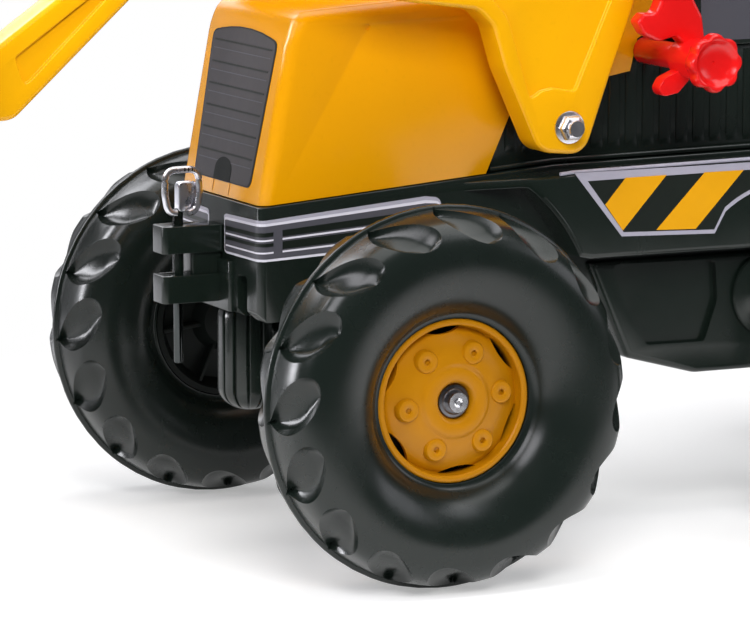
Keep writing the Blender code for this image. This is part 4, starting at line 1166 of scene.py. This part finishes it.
# ---------------------------------------------------------------- loader
ARM_OUTLINE = [(0.845, 2.16, 0.13), (1.115, 2.135, 0.13), (1.26, 2.54, 0.3), (1.4, 2.9, 0.4),
    (1.47, 3.18, 0.15), (1.42, 3.36, 0.12), (1.2, 3.48, 0.2), (0.2, 3.57, 0.4), (-0.75, 3.66, 0.4),
    (-1.02, 3.64, 0.2), (-1.2, 3.55, 0.3), (-2.33, 2.76, 0.1), (-2.44, 2.6, 0.13),
    (-2.33, 2.465, 0.1), (-2.12, 2.475, 0.12), (-1.49, 3.05, 0.5), (-1.14, 3.36, 0.3),
    (-0.96, 3.4, 0.2), (-0.01, 3.0, 0.4), (0.26, 2.96, 0.2), (0.48, 2.93, 0.12), (0.57, 2.84, 0.1),
    (0.64, 2.61, 0.3)]
ARM_RECESS = [(1.052, 2.478, 0.03), (1.262, 2.95, 0.3), (1.345, 3.18, 0.12), (1.3, 3.31, 0.08),
    (1.15, 3.385, 0.15), (0.2, 3.475, 0.4), (-0.74, 3.565, 0.4), (-0.99, 3.545, 0.15),
    (-1.15, 3.465, 0.3), (-2.11, 2.79, 0.03), (-2.06, 2.64, 0.03), (-1.55, 3.13, 0.4),
    (-1.185, 3.44, 0.25), (-0.935, 3.495, 0.2), (0.01, 3.09, 0.35), (0.28, 3.05, 0.2),
    (0.53, 3.02, 0.12), (0.65, 2.89, 0.12), (0.785, 2.444, 0.03), (0.85, 2.487, 0.05),
    (0.915, 2.5, 0.05)]


def recessed_slab(outline, recess, low, high, depth, edge):
    """A moulded slab across X with softened edges and a sunk panel on both faces."""
    slab = extruded(outline, "X", low, high, edge, 4)
    cutters = []
    for place, sign in ((high, 1), (low, -1)):
        start, end = sorted((place - sign * depth, place + sign * 0.004))
        cutters.append(extruded(recess, "X", start, end))
    slab = cut(slab, *cutters)
    return soften(slab, 0.0009, 3, 60.0)


def loader():
    outline = rounded(scaled(ARM_OUTLINE), 0.0, 7)
    recess = rounded(scaled(ARM_RECESS), 0.0, 5)
    for word, side in SIDES:
        arm = recessed_slab(outline, recess, *span(side, 0.0801, 0.105), 0.003, 0.003)
        collar = turned([(side * 0.0805, 0.0), (side * 0.0805, 0.0105), (side * 0.1046, 0.0105),
            (side * 0.1054, 0.0097), (side * 0.1054, 0.0)], "X", (0.0, *BUCKET_PIVOT), 48)
        arm = cut(union(arm, collar), bore(LOADER_PIVOT, 0.13), bore(BUCKET_PIVOT, 0.13))
        piece(f"loader_arm_{word}_skin", arm, ARM, f"loader_arm_{word}", on="loader",
            slot="arm_yellow", angle=28.0)
        x = side * 0.1054
        washer = turned([(x, 0.0), (x, 0.0094), (x + side * 0.0003, 0.0099),
            (x + side * 0.0012, 0.0099), (x + side * 0.0016, 0.0092), (x + side * 0.0016, 0.0)],
            "X", (0.0, *LOADER_PIVOT), 48)
        start = x + side * 0.0014
        nut = hexagon(start, mm([(0, 7.2), (3.6, 7.2), (5, 6.4), (6.2, 5), (6.6, 3.4)]), side,
            LOADER_PIVOT)
        thread = rod((start, *LOADER_PIVOT), (side * 0.1163, *LOADER_PIVOT), 0.0028, 24, 0.0006)
        piece(f"pivot_nut_{word}_set", merged(washer, nut, thread), RING_STEEL, f"pivot_nut_{word}",
            slot="zinc_steel", angle=30.0)
    tube_at = (-0.104, 0.403)
    tube = cross_rod(tube_at, -0.101, 0.101, 0.0108, 48)
    flanges = [turned([(side * 0.079, 0.0), (side * 0.079, 0.015), (side * 0.077, 0.0145),
        (side * 0.075, 0.0112), (side * 0.075, 0.0)], "X", (0.0, *tube_at), 48) for side in (1, -1)]
    piece("loader_cross_bar", merged(tube, *flanges), ARM, "loader_cross_tube", on="loader",
        slot="arm_yellow", angle=40.0)


BUCKET_TILT = math.radians(-18)
BUCKET_WALL = 0.004


def tipped(points):
    """Points of the front bucket's side view, in millimetres from its hinge."""
    return [(BUCKET_PIVOT[0] + y * math.cos(BUCKET_TILT) - z * math.sin(BUCKET_TILT),
        BUCKET_PIVOT[1] + y * math.sin(BUCKET_TILT) + z * math.cos(BUCKET_TILT), *radius)
        for y, z, *radius in mm(points)]


def bucket_shell(outer, inner, half, edge):
    """A bucket across X, hollowed from its mouth, with softened edges."""
    shell = cut(extruded(outer, "X", -half, half), extruded(inner, "X", -half + BUCKET_WALL,
        half - BUCKET_WALL))
    return soften(shell, edge, 2, 50.0)


def loader_bucket():
    outer = tipped([(-38, 45, 3), (-32, 20, 20), (-30, -50, 30), (-38, -80, 20), (-60, -96, 20),
        (-180, -98, 1), (-183, -94, 1), (-68, 43, 3)])
    inner = tipped([(-42, 60, 1), (-36, 20, 20), (-34, -49, 30), (-41.5, -77, 20), (-61.5, -92, 20),
        (-195, -93.5, 1), (-200, 80, 1)])
    half = 0.185
    shell = bucket_shell(rounded(outer, 0.0, 7), rounded(inner, 0.0, 7), half, 0.0008)
    piece("front_bucket_shell", shell, BLACK, "loader_bucket", on="loader_scoop",
        slot="bucket_black", angle=32.0)
    extras = []
    for side in (1, -1):
        ear_x = side * 0.0755
        ear = arc(BUCKET_PIVOT, 0.0138, -60, 90, 13) + tipped([(-32.5, 30), (-32.5, -45)])
        plate = extruded(ear, "X", ear_x - 0.0028, ear_x + 0.0028, 0.0008, 2)
        extras.append(cut(plate, bore(BUCKET_PIVOT, 0.13)))
    for index in range(9):
        x = -0.148 + 0.037 * index
        rib = tipped([(-30, -40, 4), (-27, -50, 4), (-35, -82, 4), (-58, -99, 4), (-100, -99, 4),
            (-104, -96.5, 4), (-60, -94.5, 4), (-40, -79, 4)])
        extras.append(extruded(rounded(rib, 0.0, 4), "X", x - 0.003, x + 0.003, 0.001, 2))
    piece("front_bucket_ribs", merged(*extras), BLACK, on="loader_scoop", slot="bucket_black",
        angle=32.0)
    edge = extruded(tipped([(-150, -98.5), (-184.5, -98.5), (-185, -96), (-150, -93)]), "X",
        -half + 0.0045, half - 0.0045, 0.0004, 2)
    piece("front_bucket_lip", edge, STEEL, on="loader_scoop", slot="bucket_black")


# ---------------------------------------------------------------- lever and knob
def lever_parts():
    """The red lock lever, its sleeve and the star knob."""
    y, z = LEVER_AXIS
    low = 0.115
    sleeve = mm([(64.2, 0), (64.2, 7.8), (65.2, 8.4), (90, 8), (112.5, 8), (114.2, 7.6),
        (114.2, 5.8), (144, 5.8), (144.6, 5), (144.6, 0)])
    piece("lever_shaft_sleeve", turned(sleeve, "X", (0.0, y, z), 48), RED, "lever_shaft",
        on="lever", slot="lever_red", angle=35.0)
    hub_ring = turned([(low, 0.0066), (low, 0.0116), (low + 0.001, 0.0125), (low + 0.02, 0.0122),
        (low + 0.025, 0.0118), (low + 0.026, 0.0106), (low + 0.026, 0.0066)], "X", (0.0, y, z), 48,
        True)
    outline = rounded(mm([(-1, 4), (-12, 14.5), (-24, 11.5, 6), (-34, 16, 6), (-39, 24, 3),
        (-34.5, 29, 3), (-26.5, 29, 4), (-23, 36, 8), (-24, 85, 30), (-12, 150), (3, 150),
        (-3, 85, 30), (-2, 40, 20), (6, 26, 10), (9, 4)], y, z), 0.004, 6)
    hook = extruded(outline, "X", low, low + 0.012, 0.0028, 4)
    finger = extruded(rounded(mm([(-4, -4), (-20, -11), (-23.5, -17), (-20.5, -22), (-10, -20),
        (4, -6)], y, z), 0.004, 6), "X", low + 0.001, low + 0.011, 0.003, 4)
    grip_low = Vector((low + 0.006, y - 0.006, z + 0.14))
    grip_high = Vector((low + 0.006, y - 0.002, z + 0.1848))
    profile = mm([(0, 0), (0, 9.5), (4, 11.8), (12, 12.8), (30, 12.8), (39, 10.8), (43.5, 6.5),
        (44.8, 0)])
    grip = aimed(profile, grip_low, grip_high - grip_low, 40)
    lever = union(hook, finger, grip)
    lever = cut(lever, cross_rod(LEVER_AXIS, 0.03, 0.16, 0.007))
    lever = union(lever, hub_ring)
    piece("lock_lever_moulding", lever, RED, "lock_lever", on="lever", slot="lever_red", angle=35.0)

    start = 0.145
    stations = [(0.0, 0.88, 0.0), (0.0012, 0.96, 0.6), (0.0032, 1.0, 1.0), (0.0082, 1.0, 1.0),
        (0.01, 0.975, 1.0), (0.0109, 0.93, 0.8), (0.011, 0.86, 0.4), (0.0102, 0.79, 0.1),
        (0.0078, 0.7, 0.0), (0.0062, 0.55, 0.0), (0.0056, 0.25, 0.0), (0.0055, 0.06, 0.0),
        (0.005, 0.04, 0.0)]
    rings = []
    for lift, share, wave in stations:
        ring = []
        for angle in circle(96):
            lobe = math.cos(8 * angle)
            radius = (0.0172 + 0.00145 * wave * (lobe if lobe < 0 else lobe * 0.5)) * share
            ring.append(Vector((start + lift, y + radius * math.cos(angle),
                z + radius * math.sin(angle))))
        rings.append(ring)
    piece("star_knob_moulding", skinned(rings), RED, "star_knob", on="knob", slot="lever_red",
        angle=40.0)


# ---------------------------------------------------------------- seat, drive
def seat():
    """The moulded seat shell, with ribs on its pan."""
    base = deck_z(0.66) + 0.0008
    top_line = [(0.452, 0.27), (0.458, 0.286), (0.468, 0.2905), (0.5, 0.281), (0.56, 0.2765),
        (0.615, 0.288), (0.64, 0.32), (0.66, 0.405), (0.672, 0.484), (0.682, 0.493), (0.692, 0.486),
        (0.694, 0.478), (0.69, 0.4), (0.672, 0.305), (0.655, base + 0.004), (0.655, base),
        (0.458, base), (0.453, base + 0.004)]
    rings = []
    half = 0.128
    count = 28
    for index in range(count + 1):
        share = -1.0 + 2.0 * index / count
        x = half * math.sin(share * math.pi / 2) if abs(share) < 0.999 else half * share
        across = abs(x) / half
        ring = []
        for y, z in top_line:
            if y > 0.64 and z > 0.3:
                drop = 0.03 * across ** 4
                forward = -0.01 * across ** 2
                ring.append(Vector((x, y + forward, z - drop * (z - 0.3) / 0.19)))
            elif z > base + 0.01:
                ring.append(Vector((x, y, z + 0.006 * across ** 2 - 0.008 * max(0.0,
                    across - 0.9) * 10)))
            else:
                low = base if across < 0.71 else 0.2612
                ring.append(Vector((x, y, low + (z - base))))
        rings.append(ring)
    shell = skinned(rings)
    piece("seat_shell", shell, BLACK, "seat", slot="seat_black", angle=40.0)
    ribs = []
    for index in range(7):
        x = -0.06 + 0.02 * index
        path = mm([(0, 480, 286.8), (0, 500, 282.2), (0, 560, 277.8), (0, 606, 286.5)], x)
        ribs.append(swept(curve_through(path, 5), [(a * 0.0035, b * 0.0016)
            for a, b in arc((0, 0), 1.0, 0, 330, 12)]))
    piece("seat_ribs", merged(*ribs), BLACK, slot="seat_black", angle=60.0)


def pedals():
    for word, side in SIDES:
        tip_z = CRANK_AT[1] - side * CRANK_THROW
        middle = side * 0.146
        core = block((middle - 0.0373, CRANK_AT[0] - 0.0298, tip_z - 0.009),
            (middle + 0.0373, CRANK_AT[0] + 0.0298, tip_z + 0.009), 0.003, 3)
        windows = []
        for front in (1, -1):
            low, high = span(front, 0.0105, 0.024)
            windows.append(block((middle - 0.027, CRANK_AT[0] + low, tip_z - 0.02),
                (middle + 0.027, CRANK_AT[0] + high, tip_z + 0.02), 0.002, 2))
        core = cut(core, *windows)
        core = cut(core, cross_rod((CRANK_AT[0], tip_z), middle - 0.06, middle + 0.06, 0.0056))
        bars = []
        for row in (-0.0268, -0.008, 0.008, 0.0268):
            for face in (1, -1):
                z0, z1 = span(face, 0.0085, 0.0109)
                bars.append(block((middle - 0.0345, CRANK_AT[0] + row - 0.0016, tip_z + z0),
                    (middle + 0.0345, CRANK_AT[0] + row + 0.0016, tip_z + z1), 0.0007, 2))
        piece(f"pedal_{word}_frame", merged(core, *bars), BLACK, f"pedal_{word}",
            on=f"{word}_pedal", angle=30.0)


def drive_covers():
    """The chain guard, the crank bearing and the crank."""
    axle = (WHEELBASE, REAR_R)
    slope = math.degrees(math.atan2(axle[1] - CRANK_AT[1], axle[0] - CRANK_AT[0]))

    def loop(radius):
        return (arc(CRANK_AT, radius, 90 + slope, 270 + slope, 33) + arc(axle, radius, -90 + slope,
            90 + slope, 33))
    guard_in = -0.0704
    shell = extruded(loop(0.0302), "X", guard_in - 0.0232, guard_in, 0.0028, 3)
    shell = cut(shell, extruded(loop(0.028), "X", guard_in - 0.0205, 0.0))
    shell = cut(shell, cross_rod(CRANK_AT, -0.12, 0.0, 0.0085), cross_rod(axle, -0.12, 0.0, 0.0085))
    piece("chain_guard_cover", shell, BLACK, "chain_guard", angle=30.0)
    bearing = turned(mm([(70.4, 6.6), (70.4, 26), (71.2, 27.2), (72.5, 27.5), (73.8, 26.8),
        (74.6, 24), (75.2, 21.5), (76.5, 19), (79, 15), (80, 14), (80.4, 12.5), (80.4, 6.6)]), "X",
        (0.0, *CRANK_AT), 64, True)
    piece("crank_bearing_cup", bearing, BLACK, "crank_bearing", angle=35.0)
    parts = [cross_rod(CRANK_AT, -0.1, 0.1, 0.006, 32)]
    for side in (1, -1):
        tip = (CRANK_AT[0], CRANK_AT[1] - side * CRANK_THROW)
        upper, lower = (CRANK_AT, tip) if side > 0 else (tip, CRANK_AT)
        outline = arc(upper, 0.01, 0, 180, 17) + [(upper[0] - 0.0072, upper[1] - 0.03),
            (lower[0] - 0.0072, lower[1] + 0.03)]
        outline += arc(lower, 0.01, 180, 360, 17) + [(lower[0] + 0.0072, lower[1] + 0.03),
            (upper[0] + 0.0072, upper[1] - 0.03)]
        plane = side * CRANK_PLANE
        parts.append(extruded(outline, "X", plane - 0.004, plane + 0.004, 0.0014, 3))
        low, high = sorted((plane, plane + side * 0.088))
        parts.append(cross_rod(tip, low, high, 0.005, 24))
    crank = union(*parts)
    piece("crank_forging", crank, STEEL, "pedal_crank", on="crank", slot="dark_steel", angle=32.0)


# ---------------------------------------------------------------- rear digger
def digger():
    """The rear arm: mount, slew post, boom, dipper, bucket and hand levers."""
    plate = block((-0.06, 0.7004, 0.14), (0.06, 0.7075, 0.228), 0.002, 3)
    lugs = []
    for low, high in ((0.208, 0.223), (0.148, 0.163)):
        outline = ([(0.034, 0.706), (0.019, SLEW_Y)] + arc((0.0, SLEW_Y), 0.019, 0, 180,
            25)[1:-1] + [(-0.019, SLEW_Y), (-0.034, 0.706)])
        lugs.append(extruded(outline, "Z", low, high, 0.0018, 3))
    mount = union(plate, *lugs)
    mount = cut(mount, rod((0.0, SLEW_Y, 0.13), (0.0, SLEW_Y, 0.24), 0.0074, 32))
    bolts = []
    for x in (-0.048, 0.048):
        for z in (0.152, 0.216):
            bolts.append(turned(mm([(707, 0), (707, 6.8), (709, 6.6), (710.5, 4.5), (711, 0)]), "Y",
                (x, 0.0, z), 24))
    piece("digger_mount_casting", mount, BLACK, "digger_mount", angle=30.0)
    piece("digger_mount_bolts", merged(*bolts), CHROME, slot="zinc_steel", angle=30.0)

    barrel = rod((0.0, SLEW_Y, 0.1634), (0.0, SLEW_Y, 0.2076), 0.018, 48, 0.0012)
    web = extruded([(SLEW_Y + 0.008, 0.166), (SLEW_Y + 0.04, 0.18), (0.852, 0.236),
        (0.852, 0.27)] + arc(BOOM_PIVOT, 0.018, 20, 160, 17) + [(0.806, 0.232),
        (SLEW_Y + 0.03, 0.205), (SLEW_Y + 0.008, 0.205)], "X", -0.024, 0.024, 0.002, 3)
    slot = extruded(rectangle(0.795, 0.233, 0.87, 0.3), "X", -0.0125, 0.0125)
    post = union(barrel, web)
    post = cut(post, rod((0.0, SLEW_Y, 0.15), (0.0, SLEW_Y, 0.22), 0.0076, 32), slot,
        bore(BOOM_PIVOT, 0.04))
    piece("slew_post_casting", post, ARM, "slew_post", on="slew", slot="arm_yellow", angle=30.0)

    y0, z0 = BOOM_PIVOT
    y1, z1 = DIPPER_PIVOT
    boom = arc(BOOM_PIVOT, 0.016, 160, 330, 17)
    boom += mm([(78, 85)], y0, z0) + mm([(-30, -52)], y1, z1)
    boom += arc(DIPPER_PIVOT, 0.015, -30, 120, 15)
    boom += mm([(-72, -20)], y1, z1) + mm([(16, 90)], y0, z0)
    panel = rounded(mm([(12, 26), (66, 92)], y0, z0) + mm([(-40, -50), (-30, -22), (-68, -30)], y1,
        z1) + mm([(26, 86)], y0, z0), 0.004)
    shape = recessed_slab(boom, panel, -0.0118, 0.0118, 0.0022, 0.002)
    shape = cut(shape, bore(BOOM_PIVOT, 0.04), bore(DIPPER_PIVOT, 0.04))
    piece("digger_boom_moulding", shape, ARM, "digger_boom", on="boom", slot="arm_yellow",
        angle=28.0)

    y2, z2 = SCOOP_PIVOT
    tail = (y1 + LINK_OFFSET[0], z1 + LINK_OFFSET[1])
    dipper = arc(SCOOP_PIVOT, 0.013, 200, 350, 13)
    dipper += mm([(-22, 110)], y2, z2) + mm([(30, 10)], y1, z1)
    dipper += arc(tail, 0.011, 20, 180, 13)
    dipper += mm([(-20, -6), (12, -80)], y1, z1)
    panel = rounded(mm([(28, -72), (46, -52)], y1, z1) + mm([(-32, 104), (-8, 26), (-20, 28)], y2,
        z2), 0.004)
    shape = recessed_slab(dipper, panel, -0.0205, 0.0205, 0.0022, 0.002)
    inner_slot = extruded(mm([(-75, -40), (20, -40), (20, 22), (-75, 22)], y1, z1), "X", -0.0123,
        0.0123)
    shape = cut(shape, inner_slot, bore(DIPPER_PIVOT, 0.04), bore(SCOOP_PIVOT, 0.04),
        bore(tail, 0.04, 0.0044))
    piece("digger_dipper_moulding", shape, ARM, "digger_dipper", on="dipper", slot="arm_yellow",
        angle=28.0)

    outer = rounded(mm([(20, -14, 4), (34, -60, 30), (22, -104, 20), (-10, -124, 20),
        (-52, -120, 20), (-90, -96, 1), (-24, -20, 3)], y2, z2), 0.0, 7)
    inner = rounded(mm([(16, -18, 4), (29, -60, 30), (18, -101, 20), (-11, -119, 20),
        (-51, -115, 20), (-100, -85, 1), (-34, -10, 1), (-16, -22, 2)], y2, z2), 0.0, 7)
    shell = bucket_shell(outer, inner, 0.055, 0.0007)
    piece("rear_bucket_shell", shell, BLACK, "digger_bucket", on="digger_scoop",
        slot="bucket_black", angle=32.0)
    ears = []
    for side in (1, -1):
        ear = arc(SCOOP_PIVOT, 0.0124, 0, 180, 17) + mm([(-14, -26), (21, -22)], y2, z2)
        plate = extruded(ear, "X", side * 0.024 - 0.0028, side * 0.024 + 0.0028, 0.0008, 2)
        ears.append(cut(plate, bore(SCOOP_PIVOT, 0.04)))
    for index in range(5):
        x = -0.04 + 0.02 * index
        tooth = mm([(-66, -112), (-87, -98), (-89.5, -95.5), (-80, -99), (-62, -112)], y2, z2)
        ears.append(extruded(tooth, "X", x - 0.005, x + 0.005, 0.0004, 2))
    piece("rear_bucket_fittings", merged(*ears), BLACK, on="digger_scoop", slot="bucket_black",
        angle=32.0)

    link = (y0 + LINK_OFFSET[0], z0 + LINK_OFFSET[1])
    for name, body, sign in (("dipper_lever", "dipper_hand_lever", 1), ("boom_lever", "boom", -1)):
        low, high = span(sign, 0.0255, 0.0315)
        outline = arc(BOOM_PIVOT, 0.012, 200, 380, 19)
        if sign > 0:
            outline += (mm([(11, 4)], *link) + mm([(16, 150), (4, 150)], y0, z0) + mm([(-10, 0)],
                *link))
            start, end = mm([(11, 140), (18, 200)], y0, z0)
        else:
            outline += mm([(6, 60), (-16, 150), (-28, 150), (-12, 60)], y0, z0)
            start, end = mm([(-20.5, 140), (-29, 200)], y0, z0)
        arm = extruded(outline, "X", low, high, 0.0014, 3)
        x = sign * 0.0218
        grip_low, grip_high = Vector((x, *start)), Vector((x, *end))
        run = (grip_high - grip_low).length
        profile = mm([(0, 0), (0, 6.2), (3, 7.8), (12, 8.6), (30, 8.3)])
        profile += mm([(-14, 8.7), (-5, 7.8), (-1, 4.4), (0, 0)], run)
        grip = aimed(profile, grip_low, grip_high - grip_low, 36)
        parts = [grip]
        if sign > 0:
            parts.append(cross_rod(link, low + 0.003, low + 0.0145, 0.004, 24))
        shape = cut(union(arm, *parts), bore(BOOM_PIVOT, 0.06))
        piece(f"{name}_moulding", shape, RED, name, on=body, slot="lever_red", angle=32.0)


# ---------------------------------------------------------------- steel parts left as they are
def carried_nodes():
    """Steel and dark nodes that are shown as the CAD has them."""
    steel = ["front_axle_rod", "rear_axle_rod", "loader_pivot_shaft", "bucket_pin_left",
        "bucket_pin_right", "slew_pin", "boom_pin", "dipper_pin", "tail_pin", "digger_bucket_pin"]
    dark = ["drive_chain", "crank_sprocket", "axle_sprocket", "dipper_link"]
    for names, material in ((steel, CHROME), (dark, STEEL)):
        for name in names:
            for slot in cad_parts[name].material_slots:
                slot.material = material


# ---------------------------------------------------------------- floor, light, camera
def floor_material():
    """Pale studio paper that fades out into the white surroundings."""
    n = Nodes("pale_floor")
    near = n.spread(n.noise(0.7, 3.0), 0.3, 0.7, 0.0, 1.0)
    n.feed(n.mix(near, (0.8, 0.8, 0.805), (0.83, 0.83, 0.835)), "Base Color")
    narrowed = n.add("ShaderNodeVectorMath", operation="MULTIPLY")
    narrowed.inputs[1].default_value = (1.7, 0.62, 0.0)
    n.link(n.place, narrowed.inputs[0])
    reach = n.add("ShaderNodeVectorMath", operation="LENGTH")
    n.link(narrowed.outputs["Vector"], reach.inputs[0])
    n.feed(n.spread(reach.outputs["Value"], 0.66, 1.25, 1.0, 0.0), "Alpha")
    n.set(Emission_Color=(1.0, 1.0, 1.0, 1.0), Emission_Strength=0.36, Roughness=0.6,
        Specular_IOR_Level=0.1)
    n.feed(n.bump(n.noise(220.0, 3.0), 0.0002, 0.15), "Normal")
    return n.material


def stage():
    """The floor, and a world that only the camera sees as white."""
    size = 40.0
    mesh = bpy.data.meshes.new("floor")
    mesh.from_pydata([(-size, -size, 0.0), (size, -size, 0.0), (size, size, 0.0),
        (-size, size, 0.0)], [], [(0, 1, 2, 3)])
    floor = bpy.data.objects.new("floor", mesh)
    mesh.materials.append(floor_material())
    bpy.context.scene.collection.objects.link(floor)

    world = bpy.data.worlds.new("studio")
    bpy.context.scene.world = world
    world.use_nodes = True
    tree = world.node_tree
    background = tree.nodes["Background"]
    white = tree.nodes.new("ShaderNodeBackground")
    white.inputs["Color"].default_value = (1.0, 1.0, 1.0, 1.0)
    white.inputs["Strength"].default_value = 1.0
    background.inputs["Color"].default_value = (0.93, 0.95, 1.0, 1.0)
    background.inputs["Strength"].default_value = 0.1
    seen = tree.nodes.new("ShaderNodeLightPath")
    mix = tree.nodes.new("ShaderNodeMixShader")
    tree.links.new(seen.outputs["Is Camera Ray"], mix.inputs["Fac"])
    tree.links.new(background.outputs[0], mix.inputs[1])
    tree.links.new(white.outputs[0], mix.inputs[2])
    tree.links.new(mix.outputs[0], tree.nodes["World Output"].inputs["Surface"])


def soft_box(name, place, target, size, watts, colour=(1.0, 1.0, 1.0), diffuse=True, glossy=True):
    lamp = bpy.data.lights.new(name, "AREA")
    lamp.shape = "RECTANGLE"
    lamp.size, lamp.size_y = size
    lamp.energy = watts
    lamp.color = colour
    made = bpy.data.objects.new(name, lamp)
    made.location = place
    made.rotation_euler = (Vector(target) - Vector(place)).to_track_quat("-Z", "Y").to_euler()
    made.visible_camera = False
    made.visible_diffuse = diffuse
    made.visible_glossy = glossy
    bpy.context.scene.collection.objects.link(made)


def sheen(name, place, target, size, watts):
    """A light that only shows as a highlight on glossy pieces."""
    soft_box(name, place, target, size, watts, (0.95, 0.95, 1.0), diffuse=False)


def lights():
    middle = (0.0, AXLE_Y + 0.1, 0.18)
    soft_box("side_key", (2.1, -1.1, 1.7), middle, (1.1, 1.1), 52.0, (1.0, 0.99, 0.97),
        glossy=False)
    sheen("side_sheen", (1.5, 1.0, 2.3), middle, (1.2, 1.0), 9.0)
    soft_box("top", (0.0, 0.1, 3.0), (0.0, 0.0, 0.0), (3.0, 3.0), 70.0)
    soft_box("front_wall", (0.6, -2.0, 1.5), middle, (0.9, 1.3), 26.0, (0.96, 0.95, 1.0))
    sheen("front_strip", (-0.6, -1.7, 0.8), (0.0, -0.3, 0.15), (0.35, 1.3), 36.0)
    sheen("left_panel", (-1.3, -1.0, 1.6), (0.1, -0.3, 0.12), (0.9, 0.9), 20.0)
    sheen("left_horizon", (-2.3, -1.5, 0.45), (0.0, -0.3, 0.15), (2.5, 0.8), 2.4)
    sheen("floor_card", (-1.15, -0.95, 0.01), (-1.15, -0.95, 1.0), (1.3, 1.0), 6.0)
    soft_box("rear_fill", (1.6, 2.4, 1.2), middle, (1.6, 1.2), 12.0, (0.94, 0.93, 1.0))
    soft_box("right_fill", (-2.6, 0.2, 1.4), middle, (1.8, 1.4), 16.0, (0.96, 0.96, 1.0))


def camera():
    """The photo's view; the distance and the shifts across it are in front wheel radii."""
    azimuth, elevation = math.radians(64.756), math.radians(8.807)
    away, across, above = 24.857, 0.282, 0.236
    back = Vector((math.sin(azimuth) * math.cos(elevation),
        -math.cos(azimuth) * math.cos(elevation), math.sin(elevation)))
    right = Vector((math.cos(azimuth), math.sin(azimuth), 0.0))
    up = back.cross(right)
    place = (Vector((0.0, 0.0, 1.0)) + back * away + right * across + up * above) * R
    place.y += AXLE_Y
    data = bpy.data.cameras.new("photo_view")
    data.sensor_width = 36.0
    data.lens = 219.7
    data.clip_start = 0.05
    data.clip_end = 200.0
    made = bpy.data.objects.new("photo_view", data)
    turn = Matrix((right, up, back)).transposed().to_4x4()
    made.matrix_world = Matrix.Translation(place) @ turn
    bpy.context.scene.collection.objects.link(made)
    bpy.context.scene.camera = made
    bpy.context.scene.view_settings.view_transform = "Standard"


camera()
stage()
lights()
wheels()
hood_shell()
grille()
chassis()
nose_block()
hazard_decals()
bumper_decals()
cowl()
coupling()
steering()
front_axle()
loader()
loader_bucket()
lever_parts()
seat()
pedals()
drive_covers()
digger()
carried_nodes()
